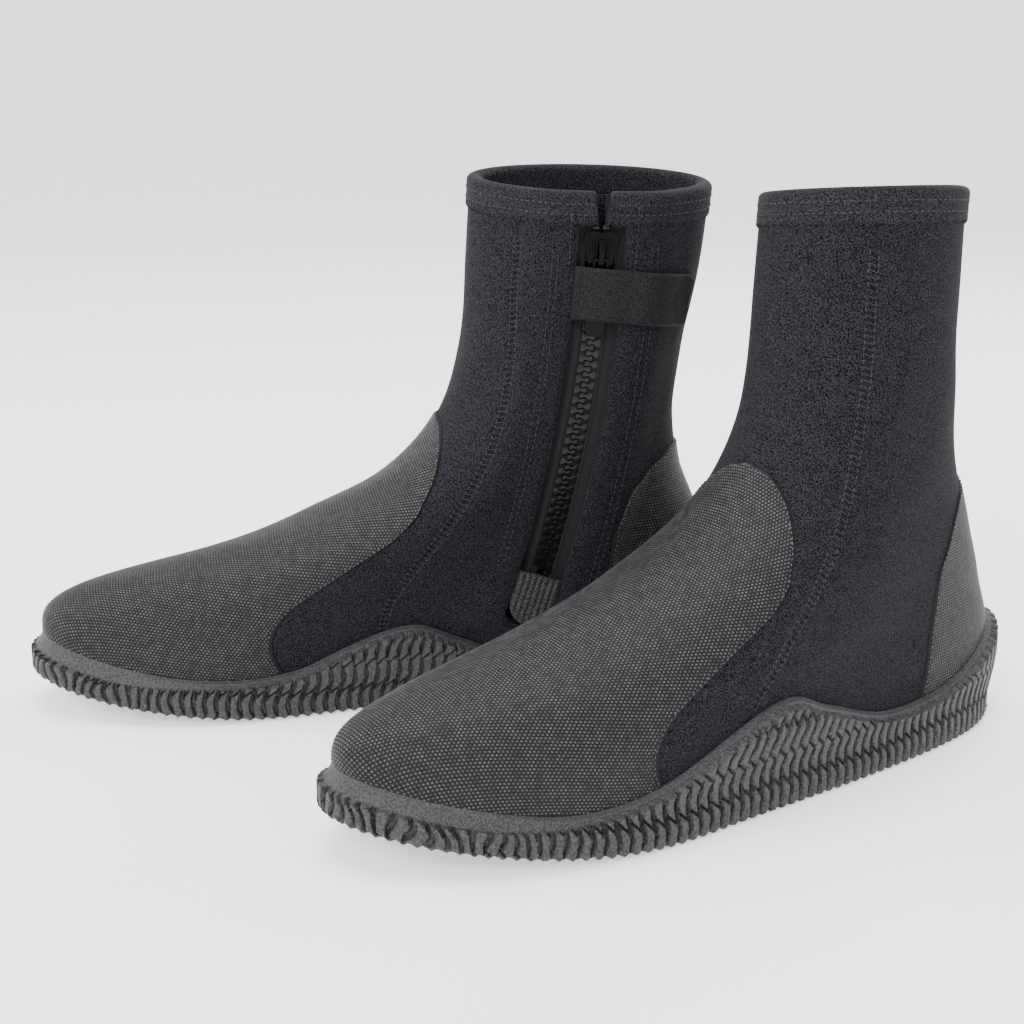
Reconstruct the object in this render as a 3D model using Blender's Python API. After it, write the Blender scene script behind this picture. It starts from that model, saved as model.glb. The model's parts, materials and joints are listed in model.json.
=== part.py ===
"""A pair of zipped neoprene dive boots, in metres, +Z up, toes toward -Y.

Each boot is worked out in its own frame: the left boot's lateral side is +X, and the
right boot is its mirror image. A point of the upper is named by theta, its direction round
the boot (0 front, 90 lateral, 180 heel, 270 medial), and by v, from 0 at the feather edge
above the outsole to 1 at the cuff's rim. The zip lies in a flat strip of the medial wall,
on a circular arc, so its slider turns about the arc's far centre.
"""
import math

import bmesh
import bpy
import numpy as np

# ---- driving dimensions, in metres and degrees --------------------------------------
NEOPRENE = 0.0047            # wall thickness of the upper
GAP = 0.0003                 # room between neighbouring pieces
SEAM_GAP = 0.0010            # room between two panels
LAYER_GAP = 0.0010           # room under the sidewall
OVERLAY_GAP = 0.0018         # room under the overlays
OVERLAY = 0.0010             # wear layer on toe and heel
OUTSOLE_HEIGHT = 0.0095
FEATHER_HEIGHT = 0.010       # where the upper meets the outsole
SIDEWALL = 0.0056            # rubber sidewall thickness
SOLE_FLARE = 0.0066          # outsole edge, outside the upper
INSOLE = 0.0045
INSOLE_ROOM = 0.0014         # from the insole's edge to the upper's inner face
TOE_SPRING = 0.0102          # rise of the toe
SPRING_START = -0.045
SPRING_LENGTH = 0.095
RIM_TILT = 0.0038            # the cuff is higher on the lateral side by twice this
CUFF_HEIGHT = 0.014
CUFF_SWELL = 0.0006
CUFF_OPENING = (0.0022, 0.0045)  # half the V between the cuff's ends, below and above
SHAFT_CUT = 0.130            # the shaft's front half swings open above this height
CUT_GAP = 0.0008

# Middle lines of the upper as (y, z), from the feather edge to the rim, at even steps of v.
FRONT_LINE = ((-0.160, 0.010), (-0.158, 0.0285), (-0.135, 0.0442), (-0.0955, 0.0592), (-0.050, 0.0765),
              (-0.013, 0.0945), (0.012, 0.120), (0.0240, 0.1545), (0.0265, 0.192), (0.0285, 0.2288))
BACK_LINE = ((0.143, 0.010), (0.147, 0.0295), (0.1435, 0.049), (0.1355, 0.0675), (0.1275, 0.0885),
             (0.1205, 0.110), (0.1185, 0.1335), (0.1212, 0.1605), (0.1260, 0.1925), (0.129, 0.2258))
# Half widths at four heights, each at five places from toe to heel.
WIDTH_LEVELS = (0.0, 3 / 9, 5 / 9, 1.0)
WIDTH_PLACES = (0.0, 0.25, 0.5, 0.75, 1.0)
LATERAL_WIDTH = ((0.054, 0.0525, 0.0385, 0.037, 0.044), (0.0495, 0.0495, 0.0435, 0.0395, 0.0455),
                 (0.0455, 0.0455, 0.0415, 0.0395, 0.0415), (0.038, 0.038, 0.038, 0.038, 0.038))
MEDIAL_WIDTH = ((0.051, 0.0455, 0.0335, 0.035, 0.044), (0.0475, 0.0455, 0.0395, 0.0375, 0.0455),
                (0.0455, 0.0435, 0.0415, 0.0395, 0.0415), (0.038, 0.038, 0.038, 0.038, 0.038))
MIDDLE_SHIFT = ((-0.010, -0.004, 0.002, 0.002, 0.0), (-0.006, -0.002, 0.001, 0.0, 0.0),
                (0.0, 0.0, 0.0, 0.0, 0.0), (0.0, 0.0, 0.0, 0.0, 0.0))

# Seams as (v, theta).
LATERAL_SEAM = ((0.0, 84.0), (0.22, 82.5), (0.33, 79.0), (0.52, 67.0), (0.66, 57.5), (1.0, 56.0))
MEDIAL_SEAM = ((0.0, 270.0), (0.16, 274.0), (0.40, 283.0), (0.61, 298.0), (0.77, 308.0), (1.0, 310.0))
# Top edge of the rubber sidewall as (y, z), before the toe spring.
SIDEWALL_LATERAL = ((-0.160, 0.0185), (-0.128, 0.0162), (-0.092, 0.0160), (-0.052, 0.0250), (-0.012, 0.0445),
                    (0.020, 0.0355), (0.060, 0.0235), (0.100, 0.0260), (0.145, 0.0440))
SIDEWALL_MEDIAL = ((-0.160, 0.0185), (-0.128, 0.0168), (-0.092, 0.0160), (-0.052, 0.0200), (-0.004, 0.0375),
                   (0.022, 0.0290), (0.050, 0.0190), (0.098, 0.0240), (0.145, 0.0440))
# Outlines of the overlays: half angle of the sides as (v, degrees), and top edge as (degrees, v).
TOE_SIDES = ((0.0, 74.0), (0.20, 66.0), (0.38, 63.0), (0.70, 61.0))
TOE_TOP = ((0.0, 0.685), (20.0, 0.665), (38.0, 0.61), (52.0, 0.53), (60.0, 0.46), (64.0, 0.38))
HEEL_SIDES = ((0.0, 54.0), (0.60, 54.0))
HEEL_TOP = ((0.0, 0.56), (28.0, 0.548), (44.0, 0.51), (51.0, 0.46), (54.0, 0.39))

# The zip: an arc in the plane x = ZIP_PLANE, measured as s (toward the heel), a (down) and
# n (outward from the boot's face).
ZIP_PLANE = -0.038
ZIP_TOP = (0.0815, 0.208)
ZIP_BOTTOM = (0.056, 0.056)
ZIP_RADIUS = 0.60
ZIP_FLAT = 0.0135            # half width of the flat strip
ZIP_FADE = 0.024
FLAT_START = 0.028           # height where the flat strip starts to form
FLAT_RISE = 0.018
ZIP_WINDOW = 0.010           # half width of the slot between the neoprene edges
WINDOW_BOTTOM = 0.034
TAPE_DEPTH = -0.0058
TAPE_THICKNESS = 0.0008
TAPE_EDGE = 0.0127
CHAIN_THICKNESS = 0.0028
CHAIN_HALF_WIDTH = 0.0043
TOOTH_ROOT = 0.0015
TOOTH_HEAD = 0.0012
TOOTH_PITCH = 0.0046
TEETH = 30
CHAIN_START = 0.0115         # down the arc from the zip's top
TAPE_START = -0.0135
TAPE_END = 0.160
SLIDER_CENTRE = 0.0105
SLIDER_WIDTH = 0.0146
SLIDER_LENGTH = 0.018
SLIDER_OUTER = (-0.0041, -0.0023)
SLIDER_INNER = (-0.0093, -0.0075)
SLIDER_RAIL = 0.0022
POST = 0.0024
BAIL_REACH = 0.0055          # half length of the bail on the slider's face
BAIL_FOOT = 0.0012
BAIL_WIDTH = 0.0024
BAIL_TOP = 0.0019
BAIL_BAR = 0.0010
PULL_LENGTH = 0.033
PULL_WIDTH = 0.0084
PULL_THICKNESS = 0.0012
PULL_BEVEL = 0.0015
PULL_DEPTH = -0.0002
PULL_PIVOT = 0.0025          # the pull's cross-bar, below the slider's middle
PULL_BAR = 0.0016
PULL_EYE = (0.0022, 0.0058)  # half width and lower end of the eye
GUSSET_DEPTH = -0.0099
GUSSET_THICKNESS = 0.0014
GUSSET_RAISE = 0.0033
GUSSET_HALF_WIDTH = 0.0128
GUSSET_FLAT = 0.0080
GUSSET_TOP = -0.0130
GUSSET_BOTTOM = 0.158
PATCH_HALF_WIDTH = 0.0088
PATCH_END = 0.1655
PATCH_DEPTH = (-0.0031, -0.0019)
PATCH_OVERLAP = 0.001        # of the end patch over the bottom stop
TOP_STOP = (0.0004, 0.0040)  # across one half of the chain
TOP_STOP_ENDS = (-0.0008, 0.0012)
TOP_STOP_HALF_DEPTH = 0.0015
BOTTOM_STOP = 0.005
BOTTOM_STOP_HALF_DEPTH = 0.0018

# The strap over the zip.
STRAP_HALF_WIDTH = 0.011
STRAP_FRONT_HEIGHT = 0.1818
STRAP_REAR_HEIGHT = 0.1758
STRAP_AXIS = -0.0095         # s of the sewn end, where the strap bends
STRAP_FOLD = 238.0           # theta at which the fastening tab folds back from the strap
FOLD_GAP = 0.4               # degrees from the fold to either piece
STRAP_RISE = 0.0022          # underside above the boot's face
STRAP_THICKNESS = 0.0015
STRAP_END = 213.0            # theta of the free end
STRAP_V = 0.87               # v of the strap's line, near enough to start from
STRAP_FRONT = -0.0079        # s of the strap's front end
ANCHOR_ENDS = (-0.0150, -0.0118)
ANCHOR_TOP = 0.0018
STRAP_BAR_OUT = 0.0020
STRAP_BAR_RADIUS = 0.0013
HOOK_START = 236.0           # theta of the hook patch's front end
HOOK_HALF_WIDTH = 0.0095
HOOK_LAYER = (0.0014, 0.0019)
HOOK_INSET = 3.0             # degrees from its rear end to the strap's
LOOP_HALF_WIDTH = 0.0105
LOOP_TOP = 0.0011
LOOP_ENDS = (4.0, 2.0)       # degrees past the hook patch's start and the strap's end

# The lateral line about which the shaft's front half swings, in the boot's frame.
SHAFT_AXIS = (0.0350, 0.0400)

# How each boot stands: its place, turn, and how far its soft cuff is pressed out of round.
BOOTS = {
    "left": {"mirror": 1.0, "place": (0.0, 0.0), "turn": 0.0, "front": -0.0010, "back": -0.0210, "lateral": 0.0},
    "right": {"mirror": -1.0, "place": (-0.154, -0.053), "turn": -26.0, "front": 0.0010, "back": 0.0052,
              "lateral": -0.005},
}

# Rows of the panels, as shares of the height below and above the shaft's cut.
LOWER_ROWS = (0.0, 0.10, 0.17, 0.22, 0.28, 0.38, 0.50, 0.62, 0.74, 0.87, 1.0)
UPPER_ROWS = (0.0, 0.27, 0.52, 0.77, 1.0)
SETTLE = 5                   # passes that place a seam and a height on the face together
HALVINGS = 20

COLOURS = {
    "neoprene": ((0.012, 0.013, 0.018, 1.0), 0.85, 0.0),
    "overlay": ((0.045, 0.046, 0.048, 1.0), 0.75, 0.0),
    "rubber": ((0.035, 0.036, 0.038, 1.0), 0.65, 0.0),
    "binding": ((0.010, 0.010, 0.012, 1.0), 0.70, 0.0),
    "webbing": ((0.020, 0.020, 0.022, 1.0), 0.80, 0.0),
    "moulding": ((0.012, 0.012, 0.013, 1.0), 0.30, 0.0),
    "foam": ((0.060, 0.060, 0.065, 1.0), 0.90, 0.0),
    "hook": ((0.030, 0.030, 0.032, 1.0), 0.90, 0.0),
}


# ---- curves ---------------------------------------------------------------------------
def smooth(knots, values, at):
    """Cubic through the rows of values at knots, read at each entry of at."""
    knots, values, at = np.asarray(knots, float), np.asarray(values, float), np.asarray(at, float)
    slopes = np.gradient(values, knots, axis=0)
    low = np.clip(np.searchsorted(knots, at, side="right") - 1, 0, len(knots) - 2)
    width = (knots[low + 1] - knots[low]).reshape(at.shape + (1,) * (values.ndim - 1))
    s = (at - knots[low]).reshape(width.shape) / width
    start = (1 + 2 * s) * (1 - s) ** 2 * values[low] + s * (1 - s) ** 2 * width * slopes[low]
    end = s**2 * (3 - 2 * s) * values[low + 1] + s**2 * (s - 1) * width * slopes[low + 1]
    return start + end


def smooth_row(knots, rows, at):
    """Cubic through each row of rows (its last axis at knots), read at that row's entry of at."""
    slopes = np.gradient(rows, knots, axis=-1)
    low = np.clip(np.searchsorted(knots, at, side="right") - 1, 0, len(knots) - 2)
    width = knots[low + 1] - knots[low]
    s = (at - knots[low]) / width
    index = np.broadcast_to(low[..., None, None], rows.shape[:-1] + (1,))
    width, s = width[..., None], s[..., None]

    def pick(table, shift):
        return np.take_along_axis(table, index + shift, -1)[..., 0]

    start = (1 + 2 * s) * (1 - s) ** 2 * pick(rows, 0) + s * (1 - s) ** 2 * width * pick(slopes, 0)
    end = s**2 * (3 - 2 * s) * pick(rows, 1) + s**2 * (s - 1) * width * pick(slopes, 1)
    return start + end


def curve(points, at):
    """Smooth curve through (parameter, value) points, level beyond its ends."""
    knots, values = np.array(points, float).T
    return smooth(knots, values, np.clip(at, knots[0], knots[-1]))


def ramp(value, start, width):
    """0 before start, 1 after start + width, and smooth between."""
    s = np.clip((value - start) / width, 0.0, 1.0)
    return s * s * (3 - 2 * s)


# ---- the upper's surface ---------------------------------------------------------------
LINES = np.concatenate([FRONT_LINE, BACK_LINE], axis=1)
WIDTHS = np.stack([LATERAL_WIDTH, MEDIAL_WIDTH, MIDDLE_SHIFT], axis=1)


def zip_centre():
    (top_y, top_z), (low_y, low_z) = ZIP_TOP, ZIP_BOTTOM
    length = math.hypot(top_y - low_y, top_z - low_z)
    reach = math.sqrt(ZIP_RADIUS**2 - (length / 2) ** 2)
    middle_y, middle_z = (top_y + low_y) / 2, (top_z + low_z) / 2
    return middle_y - reach * (top_z - low_z) / length, middle_z + reach * (top_y - low_y) / length


ZIP_Y, ZIP_Z = zip_centre()
ZIP_START = math.atan2(ZIP_TOP[1] - ZIP_Z, ZIP_TOP[0] - ZIP_Y)


def zip_point(s, a, n):
    """Point of the boot at s toward the heel, a down the arc and n out of its plane."""
    s, a, n = np.broadcast_arrays(s, a, n)
    angle = ZIP_START - a / ZIP_RADIUS
    radius = ZIP_RADIUS + s
    return np.stack([ZIP_PLANE - n, ZIP_Y + radius * np.cos(angle), ZIP_Z + radius * np.sin(angle)], -1)


def zip_offset(y, z):
    """How far toward the heel a point lies from the zip's middle line."""
    return np.hypot(y - ZIP_Y, z - ZIP_Z) - ZIP_RADIUS


def zip_length(z, s=0.0):
    """How far down the arc a height is reached."""
    return (ZIP_START - np.arcsin((z - ZIP_Z) / (ZIP_RADIUS + s))) * ZIP_RADIUS


def spring(y):
    return TOE_SPRING * np.clip((SPRING_START - y) / SPRING_LENGTH, 0.0, 2.0) ** 2


def surface(boot, theta, v):
    """Outer face of the upper."""
    theta, v = np.broadcast_arrays(np.asarray(theta, float), np.asarray(v, float))
    t = (1 - np.cos(theta)) / 2
    squash = ramp(v, 0.45, 0.55)
    front_y, front_z, back_y, back_z = np.moveaxis(smooth(np.linspace(0, 1, len(LINES)), LINES, v), -1, 0)
    front_y = front_y + boot["front"] * squash
    back_y = back_y + boot["back"] * squash
    y = front_y + (back_y - front_y) * t
    z = front_z + (back_z - front_z) * t
    side = np.sin(theta)
    lateral, medial, middle = np.moveaxis(
        smooth_row(np.array(WIDTH_PLACES), smooth(WIDTH_LEVELS, WIDTHS, v), t), -1, 0)
    x = side * np.where(side > 0, lateral + boot["lateral"] * squash, medial) + middle
    z = z + RIM_TILT * np.clip((v - 0.6) / 0.4, 0, 1) * side + spring(y)
    flat = 1 - ramp(np.abs(zip_offset(y, z)), ZIP_FLAT, ZIP_FADE)
    flat = flat * ramp(z, FLAT_START, FLAT_RISE) * (x < 0)
    return np.stack([x + (ZIP_PLANE - x) * flat, y, z], -1)


def normal(boot, theta, v):
    step = 1e-3
    around = surface(boot, theta + step, v) - surface(boot, theta - step, v)
    up = surface(boot, theta, v + step) - surface(boot, theta, v - step)
    across = np.cross(around, up)
    return across / np.linalg.norm(across, axis=-1, keepdims=True)


def skin(boot, theta, v, out):
    """Point at a distance out from the upper's outer face."""
    out = np.asarray(out)[..., None] if np.ndim(out) else out
    return surface(boot, theta, v) + out * normal(boot, theta, v)


def halve(test, low, high):
    """Where test turns from true to false between low and high."""
    for _ in range(HALVINGS):
        middle = (low + high) / 2
        keep = test(middle)
        low = np.where(keep, middle, low)
        high = np.where(keep, high, middle)
    return (low + high) / 2


def level(boot, theta, height):
    """The v at which the face reaches a height."""
    theta = np.asarray(theta, float)
    low, high = np.zeros_like(theta), np.ones_like(theta)
    return halve(lambda v: surface(boot, theta, v)[..., 2] < height, low, high)


def zip_theta(boot, v, s):
    """The direction at which the face lies s toward the heel from the zip."""
    v, s = np.broadcast_arrays(np.asarray(v, float), s)
    low, high = np.full_like(v, math.radians(195)), np.full_like(v, math.radians(345))

    def heelward(theta):
        point = surface(boot, theta, v)
        return zip_offset(point[..., 1], point[..., 2]) > s

    return halve(heelward, low, high)


def cuff_line(boot, theta):
    """The v of the binding's lower edge."""
    rim = surface(boot, theta, np.ones_like(theta))[..., 2]
    return level(boot, theta, rim - CUFF_HEIGHT)


# ---- solids -------------------------------------------------------------------------
def block(columns, rows, shape, ring=False):
    """Closed block of grid cells, whose points (u, v, w) from 0 to 1 are placed by shape."""
    bm = bmesh.new()
    bmesh.ops.create_grid(bm, x_segments=columns, y_segments=rows, size=0.5)
    made = bmesh.ops.extrude_face_region(bm, geom=bm.faces[:], use_keep_orig=True)
    top = [item for item in made["geom"] if isinstance(item, bmesh.types.BMVert)]
    bmesh.ops.translate(bm, vec=(0, 0, 1), verts=top)
    if ring:
        ends = [f for f in bm.faces if all(abs(abs(v.co.x) - 0.5) < 1e-4 for v in f.verts)]
        bmesh.ops.delete(bm, geom=ends, context="FACES_ONLY")
    co = np.array([v.co[:] for v in bm.verts])
    placed = shape(co[:, 0] + 0.5, co[:, 1] + 0.5, co[:, 2])
    for vert, point in zip(bm.verts, placed):
        vert.co = point
    if ring:
        bmesh.ops.remove_doubles(bm, verts=bm.verts[:], dist=1e-6)
    return bm


def box(low, high):
    """Box between two corners given as (s, a, n)."""
    bm = bmesh.new()
    bmesh.ops.create_cube(bm, size=1.0)
    low, high = np.array(low), np.array(high)
    for vert in bm.verts:
        vert.co = (low + high) / 2 + np.array(vert.co) * (high - low)
    return bm


def united(pieces):
    """One body from overlapping ones."""
    objects = []
    for bm in pieces:
        bmesh.ops.recalc_face_normals(bm, faces=bm.faces[:])
        mesh = bpy.data.meshes.new("union")
        bm.to_mesh(mesh)
        bm.free()
        objects.append(bpy.data.objects.new("union", mesh))
        bpy.context.scene.collection.objects.link(objects[-1])
    for other in objects[1:]:
        join = objects[0].modifiers.new("join", "BOOLEAN")
        join.operation = "UNION"
        join.object = other
    view = bpy.context.evaluated_depsgraph_get()
    result = bmesh.new()
    result.from_mesh(bpy.data.meshes.new_from_object(objects[0].evaluated_get(view)))
    for item in objects:
        bpy.data.objects.remove(item)
    return result


def plate(outlines, thickness):
    """Flat plate with the given outlines, the later ones being holes, centred on z = 0."""
    data = bpy.data.curves.new("outline", "CURVE")
    data.dimensions = "2D"
    data.fill_mode = "BOTH"
    data.extrude = thickness / 2
    for points in outlines:
        spline = data.splines.new("POLY")
        spline.points.add(len(points) - 1)
        for point, (x, y) in zip(spline.points, points):
            point.co = (x, y, 0, 1)
        spline.use_cyclic_u = True
    item = bpy.data.objects.new("outline", data)
    bpy.context.scene.collection.objects.link(item)
    view = bpy.context.evaluated_depsgraph_get()
    bm = bmesh.new()
    bm.from_mesh(bpy.data.meshes.new_from_object(item.evaluated_get(view)))
    bmesh.ops.remove_doubles(bm, verts=bm.verts[:], dist=1e-6)
    bpy.data.objects.remove(item)
    return bm


def placed(bm, shape):
    """The same body with its points (x, y, z) moved by shape."""
    co = np.array([v.co[:] for v in bm.verts])
    for vert, point in zip(bm.verts, shape(co[:, 0], co[:, 1], co[:, 2])):
        vert.co = point
    return bm


def material(kind):
    name = "boot_" + kind
    if name in bpy.data.materials:
        return bpy.data.materials[name]
    made = bpy.data.materials.new(name)
    made.use_nodes = True
    shader = made.node_tree.nodes["Principled BSDF"]
    colour, roughness, metallic = COLOURS[kind]
    shader.inputs["Base Color"].default_value = colour
    shader.inputs["Roughness"].default_value = roughness
    shader.inputs["Metallic"].default_value = metallic
    return made


class Builder:
    """Makes one boot's named objects under its own empties."""

    def __init__(self, side, collection):
        self.side = side
        self.boot = BOOTS[side]
        self.collection = collection
        self.root = bpy.data.objects.new(side + "_boot", None)
        self.root.location = (*self.boot["place"], 0.0)
        self.root.rotation_euler = (0, 0, math.radians(self.boot["turn"]))
        collection.objects.link(self.root)
        self.pivots = {"": (self.root, np.zeros(3))}

    def pivot(self, name, point, parent=""):
        """An empty on a joint's axis, in the boot's frame."""
        place = np.array(point) * (self.boot["mirror"], 1, 1)
        holder, holder_place = self.pivots[parent]
        empty = bpy.data.objects.new(f"{self.side}_{name}_pivot", None)
        empty.parent = holder
        empty.location = place - holder_place
        self.collection.objects.link(empty)
        self.pivots[name] = (empty, place)

    def add(self, name, kind, bm, pivot=""):
        holder, place = self.pivots[pivot]
        for vert in bm.verts:
            vert.co.x *= self.boot["mirror"]
        bmesh.ops.translate(bm, vec=tuple(-place), verts=bm.verts[:])
        bmesh.ops.recalc_face_normals(bm, faces=bm.faces[:])
        mesh = bpy.data.meshes.new(f"{self.side}_{name}")
        bm.to_mesh(mesh)
        bm.free()
        mesh.shade_smooth()
        mesh.set_sharp_from_angle(angle=math.radians(35))
        mesh.materials.append(material(kind))
        item = bpy.data.objects.new(mesh.name, mesh)
        item.parent = holder
        self.collection.objects.link(item)


# ---- the sole ---------------------------------------------------------------------------
def edge_point(boot, theta, out):
    """Point of the feather edge, moved out in plan."""
    point = surface(boot, theta, np.zeros_like(theta))
    across = normal(boot, theta, np.full_like(theta, 0.02))
    across[..., 2] = 0
    return point + out * across / np.linalg.norm(across, axis=-1, keepdims=True)


def sole_slab(boot, out, low, high, columns, rows):
    """Slab that fills the feather edge's outline, with the toe's spring."""
    end = math.radians(5)

    def shape(u, v, w):
        theta = end + (math.pi - 2 * end) * u
        lateral, medial = edge_point(boot, theta, out), edge_point(boot, 2 * math.pi - theta, out)
        point = medial + (lateral - medial) * v[:, None]
        point[:, 2] = low + (high - low) * w + spring(point[:, 1])
        return point

    return block(columns, rows, shape)


def sidewall_height(boot, theta):
    """Height of the sidewall's top edge round the boot."""
    y = surface(boot, theta, np.full_like(theta, 0.05))[..., 1]
    height = np.where(np.sin(theta) > 0, curve(SIDEWALL_LATERAL, y), curve(SIDEWALL_MEDIAL, y))
    return height + spring(y)


def sidewall(boot):
    def shape(u, v, w):
        theta = 2 * math.pi * u
        top = level(boot, theta, sidewall_height(boot, theta))
        point = skin(boot, theta, top * v, LAYER_GAP + SIDEWALL * w)
        low = FEATHER_HEIGHT + spring(point[:, 1])
        point[:, 2] = np.where(v < 0.01, low, point[:, 2])
        return point

    return block(54, 2, shape, ring=True)


# ---- neoprene panels ---------------------------------------------------------------------
def lateral_edge(boot, v):
    return np.radians(curve(LATERAL_SEAM, v))


def medial_edge(boot, v):
    return np.radians(curve(MEDIAL_SEAM, v))


def window_half(z):
    """Half width of the slot for the zip, rounded at its bottom."""
    rise = np.clip((z - WINDOW_BOTTOM) / ZIP_WINDOW, 0, 1)
    return ZIP_WINDOW * np.sqrt(1 - (1 - rise) ** 2)


def zip_front_edge(boot, v):
    theta = zip_theta(boot, v, 0.0)
    return zip_theta(boot, v, -window_half(surface(boot, theta, v)[..., 2]))


def zip_rear_edge(boot, v):
    theta = zip_theta(boot, v, 0.0)
    return zip_theta(boot, v, window_half(surface(boot, theta, v)[..., 2]))


def gap_angle(boot, theta, v):
    """Half a seam's gap as an angle at a point of the face."""
    step = 1e-3
    length = np.linalg.norm(surface(boot, theta + step, v) - surface(boot, theta - step, v), axis=-1)
    return SEAM_GAP * step / length


def panel(boot, first, last, columns, rows):
    """Neoprene panel between two seams; rows run 0 to 1 up to the shaft's cut and on to 2 at the cuff."""
    shares = np.array(rows)

    def shape(u, v, w):
        share = np.interp(v, np.linspace(0, 1, len(shares)), shares)
        u = (u + (1 - np.cos(np.pi * u)) / 2) / 2     # columns closer together at the seams
        theta = (first(boot, np.full_like(u, 0.5)) + last(boot, np.full_like(u, 0.5))) / 2
        for _ in range(SETTLE):
            cut, top = level(boot, theta, SHAFT_CUT), cuff_line(boot, theta)
            at = cut * np.minimum(share, 1) + (top - cut) * np.maximum(share - 1, 0)
            start, end = first(boot, at), last(boot, at)
            start = start + gap_angle(boot, start, at)
            end = end - gap_angle(boot, end, at)
            theta = start + (end - start) * u
        point = skin(boot, theta, at, -NEOPRENE * (1 - w))
        if shares[-1] == 1:
            point[v > 0.999, 2] = SHAFT_CUT - CUT_GAP / 2
        else:
            point[v > 0.999, 2] -= GAP
        if shares[0] == 1:
            point[v < 0.001, 2] = SHAFT_CUT + CUT_GAP / 2
        return point

    return block(columns, len(rows) - 1, shape)


def medial_edge_before(boot, v):
    """The medial seam as an angle below zero, for panels that cross the front."""
    return medial_edge(boot, v) - 2 * math.pi


def cuff_part(boot, first, last, columns):
    """Half of the bound rim."""
    def shape(u, v, w):
        theta = (first(boot, np.ones_like(u)) + last(boot, np.ones_like(u))) / 2
        for _ in range(SETTLE):
            low = cuff_line(boot, theta)
            at = low + (1 - low) * v
            start, end = first(boot, at), last(boot, at)
            start = start + gap_angle(boot, start, at)
            end = end - gap_angle(boot, end, at)
            theta = start + (end - start) * u
        return skin(boot, theta, at, -NEOPRENE + (NEOPRENE + CUFF_SWELL) * w)

    return block(columns, 2, shape)


def cuff_opening(boot, v):
    """Half width of the V between the cuff's ends."""
    theta = zip_theta(boot, v, 0.0)
    share = (v - cuff_line(boot, theta)) / (1 - cuff_line(boot, theta))
    return CUFF_OPENING[0] + (CUFF_OPENING[1] - CUFF_OPENING[0]) * np.clip(share, 0, 1)


def cuff_front_end(boot, v):
    return zip_theta(boot, v, -cuff_opening(boot, v)) - 2 * math.pi


def cuff_rear_end(boot, v):
    return zip_theta(boot, v, cuff_opening(boot, v))


def overlay(boot, sides, top_edge, middle, gap, columns, rows):
    """Wear layer over the toe or the heel, above the sidewall."""
    def shape(u, v, w):
        theta = np.full_like(u, middle)
        for _ in range(SETTLE):
            low = level(boot, theta, sidewall_height(boot, theta) + 2 * GAP)
            top = curve(top_edge, np.degrees(np.abs(theta - middle)))
            at = low + (top - low) * v
            theta = middle + (2 * u - 1) * np.radians(curve(sides, at))
        return skin(boot, theta, at, gap + OVERLAY * w)

    return block(columns, rows, shape)


# ---- the zip ------------------------------------------------------------------------------
def zip_strip(columns, a_ends, s_ends, n_ends):
    """Block that follows the zip's arc."""
    def shape(u, v, w):
        a = a_ends[0] + (a_ends[1] - a_ends[0]) * u
        s = s_ends[0] + (s_ends[1] - s_ends[0]) * v
        n = n_ends[0] + (n_ends[1] - n_ends[0]) * w
        return zip_point(s, a, n)

    return block(columns, 1, shape)


def tape(side):
    edges = sorted((side * (CHAIN_HALF_WIDTH + GAP), side * TAPE_EDGE))
    depth = (TAPE_DEPTH - TAPE_THICKNESS / 2, TAPE_DEPTH + TAPE_THICKNESS / 2)
    return zip_strip(10, (TAPE_START, TAPE_END), edges, depth)


def chain(side):
    """One half of the chain: teeth moulded on a cord, side -1 in front and +1 behind."""
    start = CHAIN_START + (TOOTH_PITCH / 2 if side > 0 else 0)
    outline = [(side * -TOOTH_HEAD, start)]
    for tooth in range(TEETH):
        top = start + tooth * TOOTH_PITCH
        end = top + TOOTH_PITCH / 2 - GAP
        outline += [(side * -TOOTH_HEAD, top + GAP), (side * -TOOTH_HEAD, end - GAP)]
        outline += [(side * TOOTH_ROOT, end), (side * TOOTH_ROOT, top + TOOTH_PITCH)]
    outline[0] = (side * TOOTH_ROOT, start)
    length = TEETH * TOOTH_PITCH
    outline += [(side * CHAIN_HALF_WIDTH, start + length * share) for share in np.linspace(1, 0, 7)]
    return placed(plate([outline], CHAIN_THICKNESS), lambda x, y, z: zip_point(x, y, TAPE_DEPTH + z))


def slider():
    """Slider body: two plates on a post, side rails that leave a slot for the tape, and a bail."""
    half, low, high = SLIDER_WIDTH / 2, -SLIDER_LENGTH / 2, SLIDER_LENGTH / 2
    outer, inner = SLIDER_OUTER, SLIDER_INNER
    rail = half - SLIDER_RAIL
    slot = TAPE_THICKNESS / 2 + 2 * GAP
    pieces = [box((-half, low, depth[0]), (half, high, depth[1])) for depth in (outer, inner)]
    pieces.append(box((-POST / 2, low, inner[0] + GAP), (POST / 2, low + POST, outer[1] - GAP)))
    for side in (-1, 1):
        edges = sorted((side * rail, side * (half - GAP)))
        pieces.append(box((edges[0], low + GAP, TAPE_DEPTH + slot), (edges[1], high - GAP, outer[0] + GAP)))
        pieces.append(box((edges[0], low + GAP, inner[1] - GAP), (edges[1], high - GAP, TAPE_DEPTH - slot)))
    for side in (-1, 1):
        edges = sorted((side * BAIL_REACH, side * (BAIL_REACH - BAIL_FOOT)))
        pieces.append(box((-BAIL_WIDTH / 2, edges[0], outer[1] - GAP), (BAIL_WIDTH / 2, edges[1], BAIL_TOP)))
    pieces.append(box((-BAIL_WIDTH / 2, -BAIL_REACH + GAP, BAIL_TOP - BAIL_BAR),
                      (BAIL_WIDTH / 2, BAIL_REACH - GAP, BAIL_TOP - GAP / 2)))
    return placed(united(pieces), lambda s, a, n: zip_point(s, SLIDER_CENTRE + a, n))


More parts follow.
